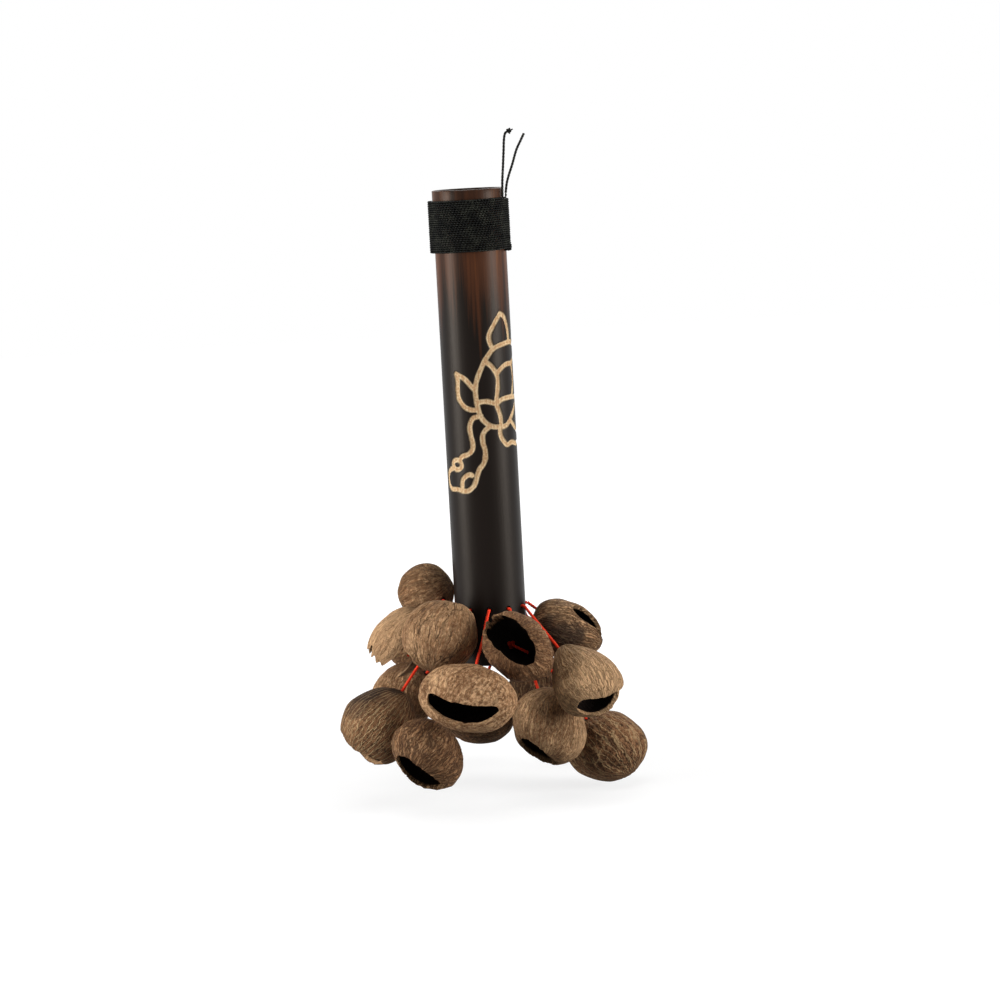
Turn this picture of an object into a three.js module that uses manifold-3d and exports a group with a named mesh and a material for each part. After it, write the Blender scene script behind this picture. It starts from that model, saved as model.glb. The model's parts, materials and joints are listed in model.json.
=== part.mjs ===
// Nut shaker: a bamboo tube handle with a cord whipping round its top, and hollow nut shells
// that hang on short red cords from two rings of holes near its lower end.
//
// Millimetres, +Z up along the tube. The origin is on the tube's axis, halfway along the tube,
// where the hand holds it. A turn is an angle about the tube: 0 faces -Y, 90 faces +X.

import * as THREE from "three";
import { mergeVertices } from "three/addons/utils/BufferGeometryUtils.js";
import Module from "manifold-3d";

const wasm = await Module();
wasm.setup();

// Handle tube
const TUBE_LENGTH = 215;
const TUBE_D = 32.5;
const TUBE_WALL = 4;
const TUBE_EDGE_ROUND = 0.7;

// Rings of cord holes, measured up from the tube's lower end
const UPPER_RING_HEIGHT = 25.5;
const UPPER_RING_HOLES = 11;
const UPPER_RING_START = -2;
const LOWER_RING_HEIGHT = 11.5;
const LOWER_RING_HOLES = 7;
const LOWER_RING_START = 14;
const CORD_HOLE_D = 2.6;

// Whipping round the top of the tube, and its two loose ends
const BLACK_CORD_D = 0.95;
const WHIPPING_BELOW_RIM = 4.2;
const WHIPPING_HEIGHT = 24.3;
const WHIPPING_TURNS = 17;
const WHIPPING_END_TURN = 68;
const UNDER_LAYER_THICKNESS = 0.5;
const UNDER_LAYER_END_TURN = 66;
const WHIPPING_BEND_R = 1;
const LOOSE_KNOT_D = 2.4;
const KNOTTED_END_ROUTE = [
  [0, 0, 0], [0.3, -0.3, 6.6], [1, -0.7, 13.8], [1.6, -1.1, 20.4], [2, -1.3, 25],
  [2.7, -1.1, 27.9], [4.4, -0.5, 29.1],
];
const BARE_END_ROUTE = [
  [0, 0, 0], [0.7, 0.6, 4.1], [1.8, 1.8, 7.6], [3.7, 4.4, 12.5], [5.8, 7.6, 18.5],
  [7.9, 9.9, 22.5], [9.6, 12.4, 25.6],
];

// Red cords and their knots
const RED_CORD_D = 1.3;
const TUBE_KNOT_D = 4.4;
const TUBE_KNOT_LENGTH = 3.6;
const NUT_KNOT_D = 4.2;
const NUT_KNOT_LENGTH = 3.4;
const CORD_TAIL = 5;
const KNOT_SHOULDER = 0.4;

// Nut shells
const NUT_WALL = 2.2;

// Clearances
const SEAT_GAP = 0.3;
const CORD_PLAY = 0.3;
const NUT_GAP = 0.7;
const CORD_ROOM = 0.6;

// The nuts. hole: ring and place in it. turn, reach, drop: the nut's centre, as an angle about the
// tube, a distance out from its side and a distance below its lower end. faceTurn, faceDip: the way
// that the mouth faces. spin: the mouth's long way, turned clockwise from level as the mouth is seen.
// wide, deep, tall: the shell along the mouth, across it and behind it. taper: how much narrower its back
// half is than its mouth half. mouthLong, mouthShort: the mouth.
const NUTS = [
  { ring: "upper", hole: 8, turn: -125, reach: 19, drop: -30, faceTurn: -140, faceDip: -25, spin: 20,
    wide: 26, deep: 25, tall: 27, taper: 0.13, mouthLong: 18, mouthShort: 8 },
  { ring: "lower", hole: 5, turn: -95, reach: 26, drop: -10, faceTurn: -93, faceDip: 52, spin: 0,
    wide: 28, deep: 27, tall: 36, taper: 0.06, mouthLong: 24, mouthShort: 22 },
  { ring: "upper", hole: 10, turn: -29, reach: 19, drop: -17, faceTurn: -112, faceDip: 32, spin: 0,
    wide: 34, deep: 33, tall: 35, taper: 0.06, mouthLong: 26, mouthShort: 8 },
  { ring: "lower", hole: 0, turn: 12, reach: 25, drop: -12, faceTurn: -16, faceDip: -20, spin: 42,
    wide: 37, deep: 28, tall: 31, taper: 0.1, mouthLong: 29, mouthShort: 13 },
  { ring: "upper", hole: 3, turn: 97, reach: 18, drop: -11, faceTurn: 68, faceDip: -50, spin: 50,
    wide: 36, deep: 28, tall: 26, taper: 0.1, mouthLong: 23, mouthShort: 9 },
  { ring: "upper", hole: 2, turn: 47, reach: 38, drop: 4, faceTurn: 40, faceDip: 45, spin: -6,
    wide: 31, deep: 27, tall: 37, taper: 0.36, mouthLong: 25, mouthShort: 13 },
  { ring: "upper", hole: 9, turn: -72, reach: 39, drop: 24, faceTurn: -76, faceDip: 44, spin: 38,
    wide: 35, deep: 33, tall: 37, taper: 0.13, mouthLong: 27, mouthShort: 9 },
  { ring: "upper", hole: 0, turn: -11, reach: 43, drop: 6, faceTurn: -12, faceDip: 7, spin: 11,
    wide: 44, deep: 31, tall: 32, taper: 0.1, mouthLong: 33, mouthShort: 9 },
  { ring: "lower", hole: 6, turn: -39, reach: 33, drop: 34, faceTurn: -36, faceDip: 30, spin: 62,
    wide: 36, deep: 27, tall: 30, taper: 0.1, mouthLong: 26, mouthShort: 12 },
  { ring: "upper", hole: 1, turn: 54, reach: 14, drop: 28, faceTurn: -34, faceDip: 40, spin: 72,
    wide: 38, deep: 30, tall: 34, taper: 0.1, mouthLong: 20, mouthShort: 11 },
  { ring: "lower", hole: 1, turn: 99, reach: 34, drop: 44, faceTurn: 165, faceDip: 25, spin: 0,
    wide: 38, deep: 33, tall: 35, taper: 0.1, mouthLong: 24, mouthShort: 10 },
  { ring: "lower", hole: 3, turn: -161, reach: 9, drop: 28, faceTurn: 170, faceDip: 40, spin: 0,
    wide: 34, deep: 29, tall: 31, taper: 0.13, mouthLong: 24, mouthShort: 9 },
  { ring: "lower", hole: 4, turn: -129, reach: 37, drop: 19, faceTurn: -165, faceDip: 30, spin: 15,
    wide: 33, deep: 29, tall: 31, taper: 0.13, mouthLong: 22, mouthShort: 9 },
  { ring: "lower", hole: 2, turn: 118, reach: 7, drop: 18, faceTurn: 165, faceDip: 40, spin: -20,
    wide: 30, deep: 26, tall: 30, taper: 0.13, mouthLong: 19, mouthShort: 8 },
  { ring: "upper", hole: 6, turn: 188, reach: 53, drop: 31, faceTurn: 185, faceDip: 38, spin: -15,
    wide: 32, deep: 28, tall: 32, taper: 0.13, mouthLong: 23, mouthShort: 11 },
  { ring: "upper", hole: 5, turn: 164, reach: 28, drop: 1, faceTurn: 180, faceDip: 20, spin: -30,
    wide: 33, deep: 29, tall: 32, taper: 0.13, mouthLong: 25, mouthShort: 12 },
  { ring: "upper", hole: 4, turn: 149, reach: 44, drop: 26, faceTurn: 150, faceDip: 35, spin: 10,
    wide: 36, deep: 30, tall: 34, taper: 0.15, mouthLong: 26, mouthShort: 10 },
  { ring: "upper", hole: 7, turn: 209, reach: 52, drop: -2, faceTurn: 210, faceDip: 40, spin: 25,
    wide: 34, deep: 30, tall: 34, taper: 0.15, mouthLong: 24, mouthShort: 9 },
];

// Mesh steps
const TUBE_SIDES = 40;
const EDGE_STEPS = 2;
const HOLE_SIDES = 8;
const CORD_SIDES = 6;
const KNOT_STEPS = 4;
const LOOP_STEPS = 20;
const LOOP_SIDES = 5;
const BEND_STEPS = 3;
const LOOSE_STEPS = 14;
const LOOSE_SIDES = 8;
const NUT_SIDES = 16;
const NUT_OUTER_RINGS = 7;
const NUT_INNER_RINGS = 5;
const BACK_CAP = 0.3;
const WELD_DISTANCE = 1e-5;
const FULL_TURN = 360;
const QUARTER_TURN = 90;

// Settling of the nuts against each other
const SETTLE_ROUNDS = 400;
const PARTING_STEPS = 24;
const HALVINGS = 24;
const TAPER_SWELL = 0.3;

const TUBE_R = TUBE_D / 2;
const BORE_R = TUBE_R - TUBE_WALL;
const TUBE_TOP = TUBE_LENGTH / 2;
const TUBE_BOTTOM = -TUBE_LENGTH / 2;
const RED_CORD_R = RED_CORD_D / 2;
const BLACK_CORD_R = BLACK_CORD_D / 2;
const PIVOT_R = TUBE_R + SEAT_GAP + RED_CORD_R;
const UP = new THREE.Vector3(0, 0, 1);

const RINGS = {
  upper: { height: UPPER_RING_HEIGHT, holes: UPPER_RING_HOLES, start: UPPER_RING_START },
  lower: { height: LOWER_RING_HEIGHT, holes: LOWER_RING_HOLES, start: LOWER_RING_START },
};

const bambooFinish = { color: 0x2a2220, roughness: 0.4, metalness: 0 };
const blackCordFinish = { color: 0x161616, roughness: 0.8, metalness: 0 };
const redCordFinish = { color: 0xd0352a, roughness: 0.75, metalness: 0 };
const nutFinish = { color: 0x84684c, roughness: 0.8, metalness: 0 };

// A level unit vector pointing out from the tube at a turn in degrees.
function outwardAt(turn) {
  const angle = THREE.MathUtils.degToRad(turn);
  return new THREE.Vector3(Math.sin(angle), -Math.cos(angle), 0);
}

// A unit vector at a turn, tipped down by a dip in degrees.
function directionOf(turn, dip) {
  const angle = THREE.MathUtils.degToRad(dip);
  return outwardAt(turn).multiplyScalar(Math.cos(angle)).addScaledVector(UP, -Math.sin(angle));
}

function meshOf(name, geometry, finish) {
  const mesh = new THREE.Mesh(geometry, new THREE.MeshStandardMaterial(finish));
  mesh.name = name;
  return mesh;
}

function numbered(name, index) {
  return `${name}_${String(index + 1).padStart(2, "0")}`;
}

// Solids for cutting and joining
function solidOf(geometry) {
  const bare = geometry.clone();
  bare.deleteAttribute("normal");
  bare.deleteAttribute("uv");
  const merged = mergeVertices(bare, WELD_DISTANCE);
  const vertProperties = new Float32Array(merged.attributes.position.array);
  const triVerts = new Uint32Array(merged.index.array);
  return new wasm.Manifold(new wasm.Mesh({ numProp: 3, vertProperties, triVerts }));
}

function geometryOf(solid) {
  const mesh = solid.getMesh();
  const geometry = new THREE.BufferGeometry();
  geometry.setAttribute("position", new THREE.BufferAttribute(new Float32Array(mesh.vertProperties), 3));
  geometry.setIndex(new THREE.BufferAttribute(new Uint32Array(mesh.triVerts), 1));
  geometry.computeVertexNormals();
  return geometry;
}

// A profile of [radius, height] points turned round Z.
function turned(profile, sides) {
  const points = profile.map(([radius, height]) => new THREE.Vector2(radius, height));
  return new THREE.LatheGeometry(points, sides).rotateX(Math.PI / 2);
}

// Points of an arc about [radius, height], between two angles in degrees.
function arcPoints(radius, height, size, from, to, steps) {
  const points = [];
  for (let step = 0; step <= steps; step += 1) {
    const angle = THREE.MathUtils.degToRad(from + ((to - from) * step) / steps);
    points.push([radius + size * Math.cos(angle), height + size * Math.sin(angle)]);
  }
  return points;
}

// Half an ellipse from its lower to its upper tip, as a knot's outline.
function knotOutline(diameter, length, middle) {
  const points = [];
  for (let step = 1; step < KNOT_STEPS; step += 1) {
    const angle = Math.PI * (step / KNOT_STEPS) - Math.PI / 2;
    points.push([(diameter / 2) * Math.cos(angle), middle + (length / 2) * Math.sin(angle)]);
  }
  return points;
}

// A closed surface over rings of points, with a flat cap over the first ring and the last.
function gridGeometry(rings) {
  const sides = rings[0].length;
  const positions = rings.flat().flatMap((point) => point.toArray());
  const index = [];
  for (let ring = 0; ring < rings.length - 1; ring += 1) {
    const here = ring * sides;
    const next = here + sides;
    for (let side = 0; side < sides; side += 1) {
      const after = (side + 1) % sides;
      index.push(here + side, next + after, here + after, here + side, next + side, next + after);
    }
  }
  const last = (rings.length - 1) * sides;
  for (let side = 1; side < sides - 1; side += 1) {
    index.push(0, side, side + 1);
    index.push(last, last + side + 1, last + side);
  }
  const geometry = new THREE.BufferGeometry();
  geometry.setAttribute("position", new THREE.Float32BufferAttribute(positions, 3));
  geometry.setIndex(index);
  geometry.computeVertexNormals();
  return geometry;
}

// Handle tube
function holeTurn(ringName, hole) {
  const ring = RINGS[ringName];
  return ring.start + (hole * FULL_TURN) / ring.holes;
}

function holeHeight(ringName) {
  return TUBE_BOTTOM + RINGS[ringName].height;
}

function makeTube() {
  const round = TUBE_EDGE_ROUND;
  const profile = [
    ...arcPoints(TUBE_R - round, TUBE_BOTTOM + round, round, -90, 0, EDGE_STEPS),
    ...arcPoints(TUBE_R - round, TUBE_TOP - round, round, 0, 90, EDGE_STEPS),
    ...arcPoints(BORE_R + round, TUBE_TOP - round, round, 90, 180, EDGE_STEPS),
    ...arcPoints(BORE_R + round, TUBE_BOTTOM + round, round, 180, 270, EDGE_STEPS),
  ];
  profile.push(profile[0]);
  let tube = solidOf(turned(profile, TUBE_SIDES));
  for (const nut of NUTS) {
    const outward = outwardAt(holeTurn(nut.ring, nut.hole));
    const drill = new THREE.CylinderGeometry(CORD_HOLE_D / 2, CORD_HOLE_D / 2, TUBE_WALL * 2, HOLE_SIDES);
    drill.applyQuaternion(new THREE.Quaternion().setFromUnitVectors(new THREE.Vector3(0, 1, 0), outward));
    const middle = outward.multiplyScalar(TUBE_R - TUBE_WALL / 2);
    drill.translate(middle.x, middle.y, holeHeight(nut.ring));
    tube = tube.subtract(solidOf(drill));
  }
  return meshOf("bamboo_tube", geometryOf(tube), bambooFinish);
}

// The knot that holds a cord inside the tube, with the stub of cord in its hole
function makeTubeKnot(nut, index) {
  const middle = BORE_R - SEAT_GAP - TUBE_KNOT_LENGTH / 2;
  const knot = knotOutline(TUBE_KNOT_D, TUBE_KNOT_LENGTH, middle);
  const profile = [
    [0, middle - TUBE_KNOT_LENGTH / 2],
    ...knot,
    [RED_CORD_R, middle + TUBE_KNOT_LENGTH / 2],
    [RED_CORD_R, TUBE_R],
    [0, TUBE_R],
  ];
  const mesh = meshOf(numbered("tube_knot", index), turned(profile, CORD_SIDES), redCordFinish);
  mesh.position.z = holeHeight(nut.ring);
  mesh.quaternion.setFromUnitVectors(UP, outwardAt(holeTurn(nut.ring, nut.hole)));
  return mesh;
}

// Whipping
const UNDER_LAYER_INNER_R = TUBE_R + SEAT_GAP;
const UNDER_LAYER_OUTER_R = UNDER_LAYER_INNER_R + UNDER_LAYER_THICKNESS;
const WHIPPING_TOP = TUBE_TOP - WHIPPING_BELOW_RIM;
const WHIPPING_PITCH = (WHIPPING_HEIGHT - BLACK_CORD_D) / WHIPPING_TURNS;
// The loop's sides are straight, so its corners stand out a little further than a round loop would.
const LOOP_R = (UNDER_LAYER_OUTER_R + SEAT_GAP + BLACK_CORD_R) / Math.cos(Math.PI / LOOP_STEPS);

function makeUnderLayer() {
  const profile = [
    [UNDER_LAYER_INNER_R, WHIPPING_TOP - WHIPPING_HEIGHT],
    [UNDER_LAYER_OUTER_R, WHIPPING_TOP - WHIPPING_HEIGHT],
    [UNDER_LAYER_OUTER_R, WHIPPING_TOP],
    [UNDER_LAYER_INNER_R, WHIPPING_TOP],
  ];
  profile.push(profile[0]);
  return meshOf("whipping_under_layer", turned(profile, TUBE_SIDES), blackCordFinish);
}

// The winding's middle line, from its lower end up, one step beyond each end straight. Its upper end
// turns up beside the rim, where its loose end goes on.
function whippingLine() {
  const points = [];
  const steps = WHIPPING_TURNS * LOOP_STEPS;
  const low = WHIPPING_TOP - WHIPPING_HEIGHT + BLACK_CORD_R;
  for (let step = 0; step <= steps; step += 1) {
    const turn = WHIPPING_END_TURN - ((steps - step) * FULL_TURN) / LOOP_STEPS;
    const point = outwardAt(turn).multiplyScalar(LOOP_R);
    point.z = low + (WHIPPING_PITCH * step) / LOOP_STEPS;
    points.push(point);
  }
  const first = points[0];
  points.unshift(first.clone().addScaledVector(points[1].clone().sub(first).normalize(), -BLACK_CORD_D));
  const along = outwardAt(WHIPPING_END_TURN + QUARTER_TURN);
  const bendStart = points[points.length - 1];
  for (let step = 1; step <= BEND_STEPS; step += 1) {
    const angle = (Math.PI / 2) * (step / BEND_STEPS);
    const point = bendStart.clone().addScaledVector(along, WHIPPING_BEND_R * Math.sin(angle));
    points.push(point.addScaledVector(UP, WHIPPING_BEND_R * (1 - Math.cos(angle))));
  }
  points.push(points[points.length - 1].clone().addScaledVector(UP, BLACK_CORD_D));
  return points;
}

// The least distance between turns of the winding, from surface to surface.
function leastGapOf(points, diameter) {
  let least = Infinity;
  for (let first = 0; first < points.length; first += 1) {
    for (let second = first + LOOP_STEPS / 2; second < points.length; second += 1) {
      least = Math.min(least, points[first].distanceTo(points[second]) - diameter);
    }
  }
  return least;
}

const WHIPPING_LINE = whippingLine();

function makeWhipping() {
  console.log(`whipping: least gap between turns ${leastGapOf(WHIPPING_LINE, BLACK_CORD_D).toFixed(3)} mm`);
  const rings = WHIPPING_LINE.map((point, place) => {
    const before = WHIPPING_LINE[Math.max(place - 1, 0)];
    const after = WHIPPING_LINE[Math.min(place + 1, WHIPPING_LINE.length - 1)];
    const outward = new THREE.Vector3(point.x, point.y, 0).normalize();
    const across = outward.clone().cross(after.clone().sub(before)).normalize();
    const ring = [];
    for (let side = 0; side < LOOP_SIDES; side += 1) {
      const angle = (side * 2 * Math.PI) / LOOP_SIDES;
      const corner = point.clone().addScaledVector(outward, BLACK_CORD_R * Math.cos(angle));
      ring.push(corner.addScaledVector(across, BLACK_CORD_R * Math.sin(angle)));
    }
    return ring;
  });
  return meshOf("whipping_cord", gridGeometry(rings), blackCordFinish);
}

// A loose end of the black cord along a route of offsets from its exit, with or without a knot at its tip.
function makeLooseEnd(name, exit, route, knotted) {
  const points = route.map((offset) => new THREE.Vector3(...offset).add(exit));
  const path = new THREE.CatmullRomCurve3(points);
  const section = new THREE.Shape().absarc(0, 0, BLACK_CORD_R, 0, 2 * Math.PI);
  const settings = { steps: LOOSE_STEPS, extrudePath: path, curveSegments: LOOSE_SIDES / 2 };
  let end = solidOf(new THREE.ExtrudeGeometry(section, settings));
  if (knotted) {
    const knot = new THREE.SphereGeometry(LOOSE_KNOT_D / 2, LOOSE_SIDES, KNOT_STEPS);
    const place = points[points.length - 1];
    end = end.add(solidOf(knot.translate(place.x, place.y, place.z)));
  }
  return meshOf(name, geometryOf(end), blackCordFinish);
}

function makeLooseEnds() {
  const underExit = outwardAt(UNDER_LAYER_END_TURN).multiplyScalar(TUBE_R + SEAT_GAP + BLACK_CORD_R);
  underExit.z = WHIPPING_TOP + SEAT_GAP;
  const outerExit = WHIPPING_LINE[WHIPPING_LINE.length - 1].clone().addScaledVector(UP, SEAT_GAP);
  return [
    makeLooseEnd("loose_end_knotted", underExit, KNOTTED_END_ROUTE, true),
    makeLooseEnd("loose_end_bare", outerExit, BARE_END_ROUTE, false),
  ];
}

// Nut shells

// A point of an egg-shaped form, narrower at its back, at an angle from its back and an angle round it.
function eggPoint(halves, taper, fromBack, round) {
  const girth = Math.sin(fromBack) * (1 - taper * Math.cos(fromBack));
  return new THREE.Vector3(
    halves[0] * girth * Math.cos(round),
    halves[1] * girth * Math.sin(round),
    halves[2] * Math.cos(fromBack),
  );
}

// The angle from the back at which an egg-shaped form meets the edge of the mouth.
function mouthAngle(halves, nut, round) {
  let low = Math.PI / 2;
  let high = Math.PI;
  for (let step = 0; step < HALVINGS; step += 1) {
    const middle = (low + high) / 2;
    const point = eggPoint(halves, nut.taper, middle, round);
    if (Math.hypot(point.x / nut.mouthLong, point.y / nut.mouthShort) < 0.5) {
      high = middle;
    } else {
      low = middle;
    }
  }
  return low;
}

// Rings of an egg-shaped form, from its back to the mouth's edge, in the nut's own axes.
function eggRings(halves, nut, count) {
  const rings = [];
  for (let ring = 0; ring < count; ring += 1) {
    const share = (ring + BACK_CAP) / (count - 1 + BACK_CAP);
    const points = [];
    for (let side = 0; side < NUT_SIDES; side += 1) {
      const round = (side * 2 * Math.PI) / NUT_SIDES;
      points.push(eggPoint(halves, nut.taper, mouthAngle(halves, nut, round) * share, round));
    }
    rings.push(points);
  }
  return rings;
}

function halvesOf(nut) {
  return [nut.wide / 2, nut.deep / 2, nut.tall / 2];
}

// A shell in its own axes: outside from its back to the mouth, then inside from the mouth to its back.
function shellGeometry(nut) {
  const inner = halvesOf(nut).map((half) => half - NUT_WALL);
  const outerRings = eggRings(halvesOf(nut), nut, NUT_OUTER_RINGS);
  return gridGeometry([...outerRings, ...eggRings(inner, nut, NUT_INNER_RINGS).reverse()]);
}

// Places of the nuts

// A nut's own axes: along its mouth, across it and up its back.
function axesOf(nut) {
  const back = directionOf(nut.faceTurn, nut.faceDip).negate();
  const along = outwardAt(nut.faceTurn + QUARTER_TURN);
  along.applyAxisAngle(back, THREE.MathUtils.degToRad(nut.spin));
  return [along, back.clone().cross(along), back];
}

function placedNut(nut) {
  const centre = outwardAt(nut.turn).multiplyScalar(TUBE_R + nut.reach);
  centre.z = TUBE_BOTTOM - nut.drop;
  const pivot = outwardAt(holeTurn(nut.ring, nut.hole)).multiplyScalar(PIVOT_R);
  pivot.z = holeHeight(nut.ring);
  const axes = axesOf(nut);
  const own = new THREE.Matrix4().makeBasis(...axes);
  const form = eggRings(halvesOf(nut), nut, NUT_OUTER_RINGS).flat().map((point) => point.applyMatrix4(own));
  return { ...nut, centre, pivot, axes, form };
}

// The point of a nut's outer form that lies furthest along a direction, from its centre.
function reachOf(nut, direction) {
  let best = nut.form[0];
  for (const point of nut.form) {
    if (point.dot(direction) > best.dot(direction)) {
      best = point;
    }
  }
  return best;
}

// The gap between two nuts, along the direction that parts them best.
function partingOf(first, second) {
  const between = second.centre.clone().sub(first.centre);
  const direction = between.clone().normalize();
  const best = { gap: -Infinity, direction: null };
  for (let step = 0; step < PARTING_STEPS; step += 1) {
    const pull = between.clone().sub(reachOf(first, direction));
    pull.add(reachOf(second, direction.clone().negate()));
    const gap = pull.dot(direction);
    if (gap > best.gap) {
      best.gap = gap;
      best.direction = direction.clone();
    }
    if (gap > NUT_GAP) {
      break;
    }
    direction.addScaledVector(pull.addScaledVector(direction, -gap), 1 / between.length()).normalize();
  }
  return best;
}

// The gap between a nut and another nut's cord, and the way from the cord to the nut.
function cordPartingOf(nut, other) {
  const halves = halvesOf(nut).map((half) => half * (1 + nut.taper * TAPER_SWELL));
  const scaled = (point) => nut.axes.map((axis, place) => axis.dot(point) / halves[place]);
  const flatten = (point) => new THREE.Vector3(...scaled(point));
  const start = other.pivot.clone().sub(nut.centre);
  const end = other.centre.clone().sub(nut.centre);
  const line = new THREE.Line3(flatten(start), flatten(end));
  const share = line.closestPointToPointParameter(new THREE.Vector3(), true);
  const near = start.lerp(end, share);
  const gap = near.length() * (1 - 1 / flatten(near).length()) - RED_CORD_R;
  return { gap, direction: near.normalize().negate() };
}

// Nuts that come too close to each other, to a cord or to the tube are moved apart, a little at a time.
function settle(nuts) {
  for (let round = 0; round < SETTLE_ROUNDS; round += 1) {
    for (const nut of nuts) {
      for (const other of nuts.filter((candidate) => candidate !== nut)) {
        const parting = partingOf(nut, other);
        if (parting.gap < NUT_GAP) {
          const share = (NUT_GAP - parting.gap) / 2;
          nut.centre.addScaledVector(parting.direction, -share);
          other.centre.addScaledVector(parting.direction, share);
        }
        const beside = cordPartingOf(nut, other);
        if (beside.gap < CORD_ROOM) {
          nut.centre.addScaledVector(beside.direction, CORD_ROOM - beside.gap);
        }
      }
      const outward = new THREE.Vector3(nut.centre.x, nut.centre.y, 0).normalize();
      const besideTube = nut.centre.z + reachOf(nut, UP).z > TUBE_BOTTOM - SEAT_GAP;
      const nearest = reachOf(nut, outward.clone().negate()).clone().add(nut.centre);
      const gap = nearest.dot(outward) - TUBE_R;
      if (besideTube && gap < NUT_GAP) {
        nut.centre.addScaledVector(outward, NUT_GAP - gap);
      }
    }
  }
  return nuts;
}

// How far up the cord's line from the nut's centre a stopper knot can go before it meets the inner wall.
function wallHeightOf(shell, cordWay) {
  const inside = new THREE.Mesh(shell, new THREE.MeshBasicMaterial({ side: THREE.DoubleSide }));
  const upright = new THREE.Quaternion().setFromUnitVectors(UP, cordWay);
  let least = Infinity;
  for (let side = 0; side < CORD_SIDES; side += 1) {
    const start = outwardAt((side * FULL_TURN) / CORD_SIDES).multiplyScalar(NUT_KNOT_D * KNOT_SHOULDER);
    const ray = new THREE.Raycaster(start.applyQuaternion(upright), cordWay);
    least = Math.min(least, ray.intersectObject(inside)[0].distance);
  }
  return least;
}

// A red cord from its pivot down into its nut, with a stopper knot under the shell and a short tail.
function cordGeometry(wallHeight) {
  const middle = wallHeight - SEAT_GAP - NUT_KNOT_LENGTH / 2;
  const under = middle - NUT_KNOT_LENGTH / 2;
  return turned([
    [0, under - CORD_TAIL],
    [RED_CORD_R, under - CORD_TAIL],
    [RED_CORD_R, under],
    ...knotOutline(NUT_KNOT_D, NUT_KNOT_LENGTH, middle),
    [RED_CORD_R, middle + NUT_KNOT_LENGTH / 2],
    ...arcPoints(0, 0, RED_CORD_R, 0, 90, EDGE_STEPS),
  ], CORD_SIDES);
}

// A nut shell and its cord. Both turn about the pivot, where the cord leaves the tube.
function makeNut(nut, index) {
  const toPivot = nut.pivot.clone().sub(nut.centre);
  const distance = toPivot.length();
  toPivot.normalize();
  const turn = new THREE.Quaternion().setFromRotationMatrix(new THREE.Matrix4().makeBasis(...nut.axes));
  const cordWay = toPivot.clone().applyQuaternion(turn.clone().invert());

  const shell = shellGeometry(nut);
  const drillR = RED_CORD_R + CORD_PLAY;
  const drill = new THREE.CylinderGeometry(drillR, drillR, distance, HOLE_SIDES);
  drill.translate(0, distance / 2, 0);
  drill.applyQuaternion(new THREE.Quaternion().setFromUnitVectors(new THREE.Vector3(0, 1, 0), cordWay));
  const drilled = geometryOf(solidOf(shell).subtract(solidOf(drill)));
  const shellMesh = meshOf(numbered("nut_shell", index), drilled, nutFinish);
  shellMesh.position.copy(nut.centre);
  shellMesh.quaternion.copy(turn);

  const wallHeight = wallHeightOf(shell, cordWay) - distance;
  const cordMesh = meshOf(numbered("nut_cord", index), cordGeometry(wallHeight), redCordFinish);
  cordMesh.position.copy(nut.pivot);
  cordMesh.quaternion.setFromUnitVectors(UP, toPivot);

  const group = new THREE.Group();
  group.add(shellMesh, cordMesh);
  return group;
}

const handle = new THREE.Group();
handle.add(makeTube(), makeUnderLayer(), makeWhipping(), ...makeLooseEnds());
const shaker = new THREE.Group();
shaker.add(handle);
settle(NUTS.map(placedNut)).forEach((nut, index) => {
  handle.add(makeTubeKnot(nut, index));
  shaker.add(makeNut(nut, index));
});

export default shaker;
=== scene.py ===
import json
import math
from collections import namedtuple

import bpy
import numpy as np
from mathutils import Matrix, Vector, kdtree


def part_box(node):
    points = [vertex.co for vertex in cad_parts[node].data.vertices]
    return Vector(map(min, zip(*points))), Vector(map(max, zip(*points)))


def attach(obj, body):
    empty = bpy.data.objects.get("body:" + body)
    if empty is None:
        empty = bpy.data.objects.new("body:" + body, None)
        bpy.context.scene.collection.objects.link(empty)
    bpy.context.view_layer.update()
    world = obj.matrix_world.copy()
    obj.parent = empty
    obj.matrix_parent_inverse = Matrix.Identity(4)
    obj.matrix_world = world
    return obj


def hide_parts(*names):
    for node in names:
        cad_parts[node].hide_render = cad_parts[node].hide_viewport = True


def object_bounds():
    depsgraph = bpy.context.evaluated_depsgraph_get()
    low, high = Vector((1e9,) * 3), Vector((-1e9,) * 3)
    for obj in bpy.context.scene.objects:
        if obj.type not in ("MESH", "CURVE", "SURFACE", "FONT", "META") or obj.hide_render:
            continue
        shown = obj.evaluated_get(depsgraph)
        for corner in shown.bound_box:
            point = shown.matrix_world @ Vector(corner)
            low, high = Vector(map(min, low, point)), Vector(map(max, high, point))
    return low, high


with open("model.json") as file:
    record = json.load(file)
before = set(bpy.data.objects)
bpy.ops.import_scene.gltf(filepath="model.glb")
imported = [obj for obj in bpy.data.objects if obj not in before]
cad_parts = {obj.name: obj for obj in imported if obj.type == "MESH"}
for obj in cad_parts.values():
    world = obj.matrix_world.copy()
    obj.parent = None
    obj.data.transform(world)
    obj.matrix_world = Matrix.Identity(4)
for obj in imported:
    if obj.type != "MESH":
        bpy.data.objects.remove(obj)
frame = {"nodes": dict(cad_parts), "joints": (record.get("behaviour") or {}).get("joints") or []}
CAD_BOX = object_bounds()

bl_info = {
    "name": "Nut shaker",
    "version": (1, 0, 0),
    "blender": (4, 5, 0),
    "location": "View3D > Sidebar > Shaker",
    "description": "Dresses the frame of a bamboo nut shaker: tube, whipping, cords and nut shells",
    "category": "Object",
}

MM = 0.001
HANDLE = "handle"

# The handle, in millimetres
TUBE_LOW, TUBE_HIGH = (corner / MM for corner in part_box("bamboo_tube"))
TUBE_R = (TUBE_HIGH.x - TUBE_LOW.x) / 2
TUBE_WALL = 4.0
EDGE_ROUND = 0.7
HOLE_R = 1.3

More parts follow.
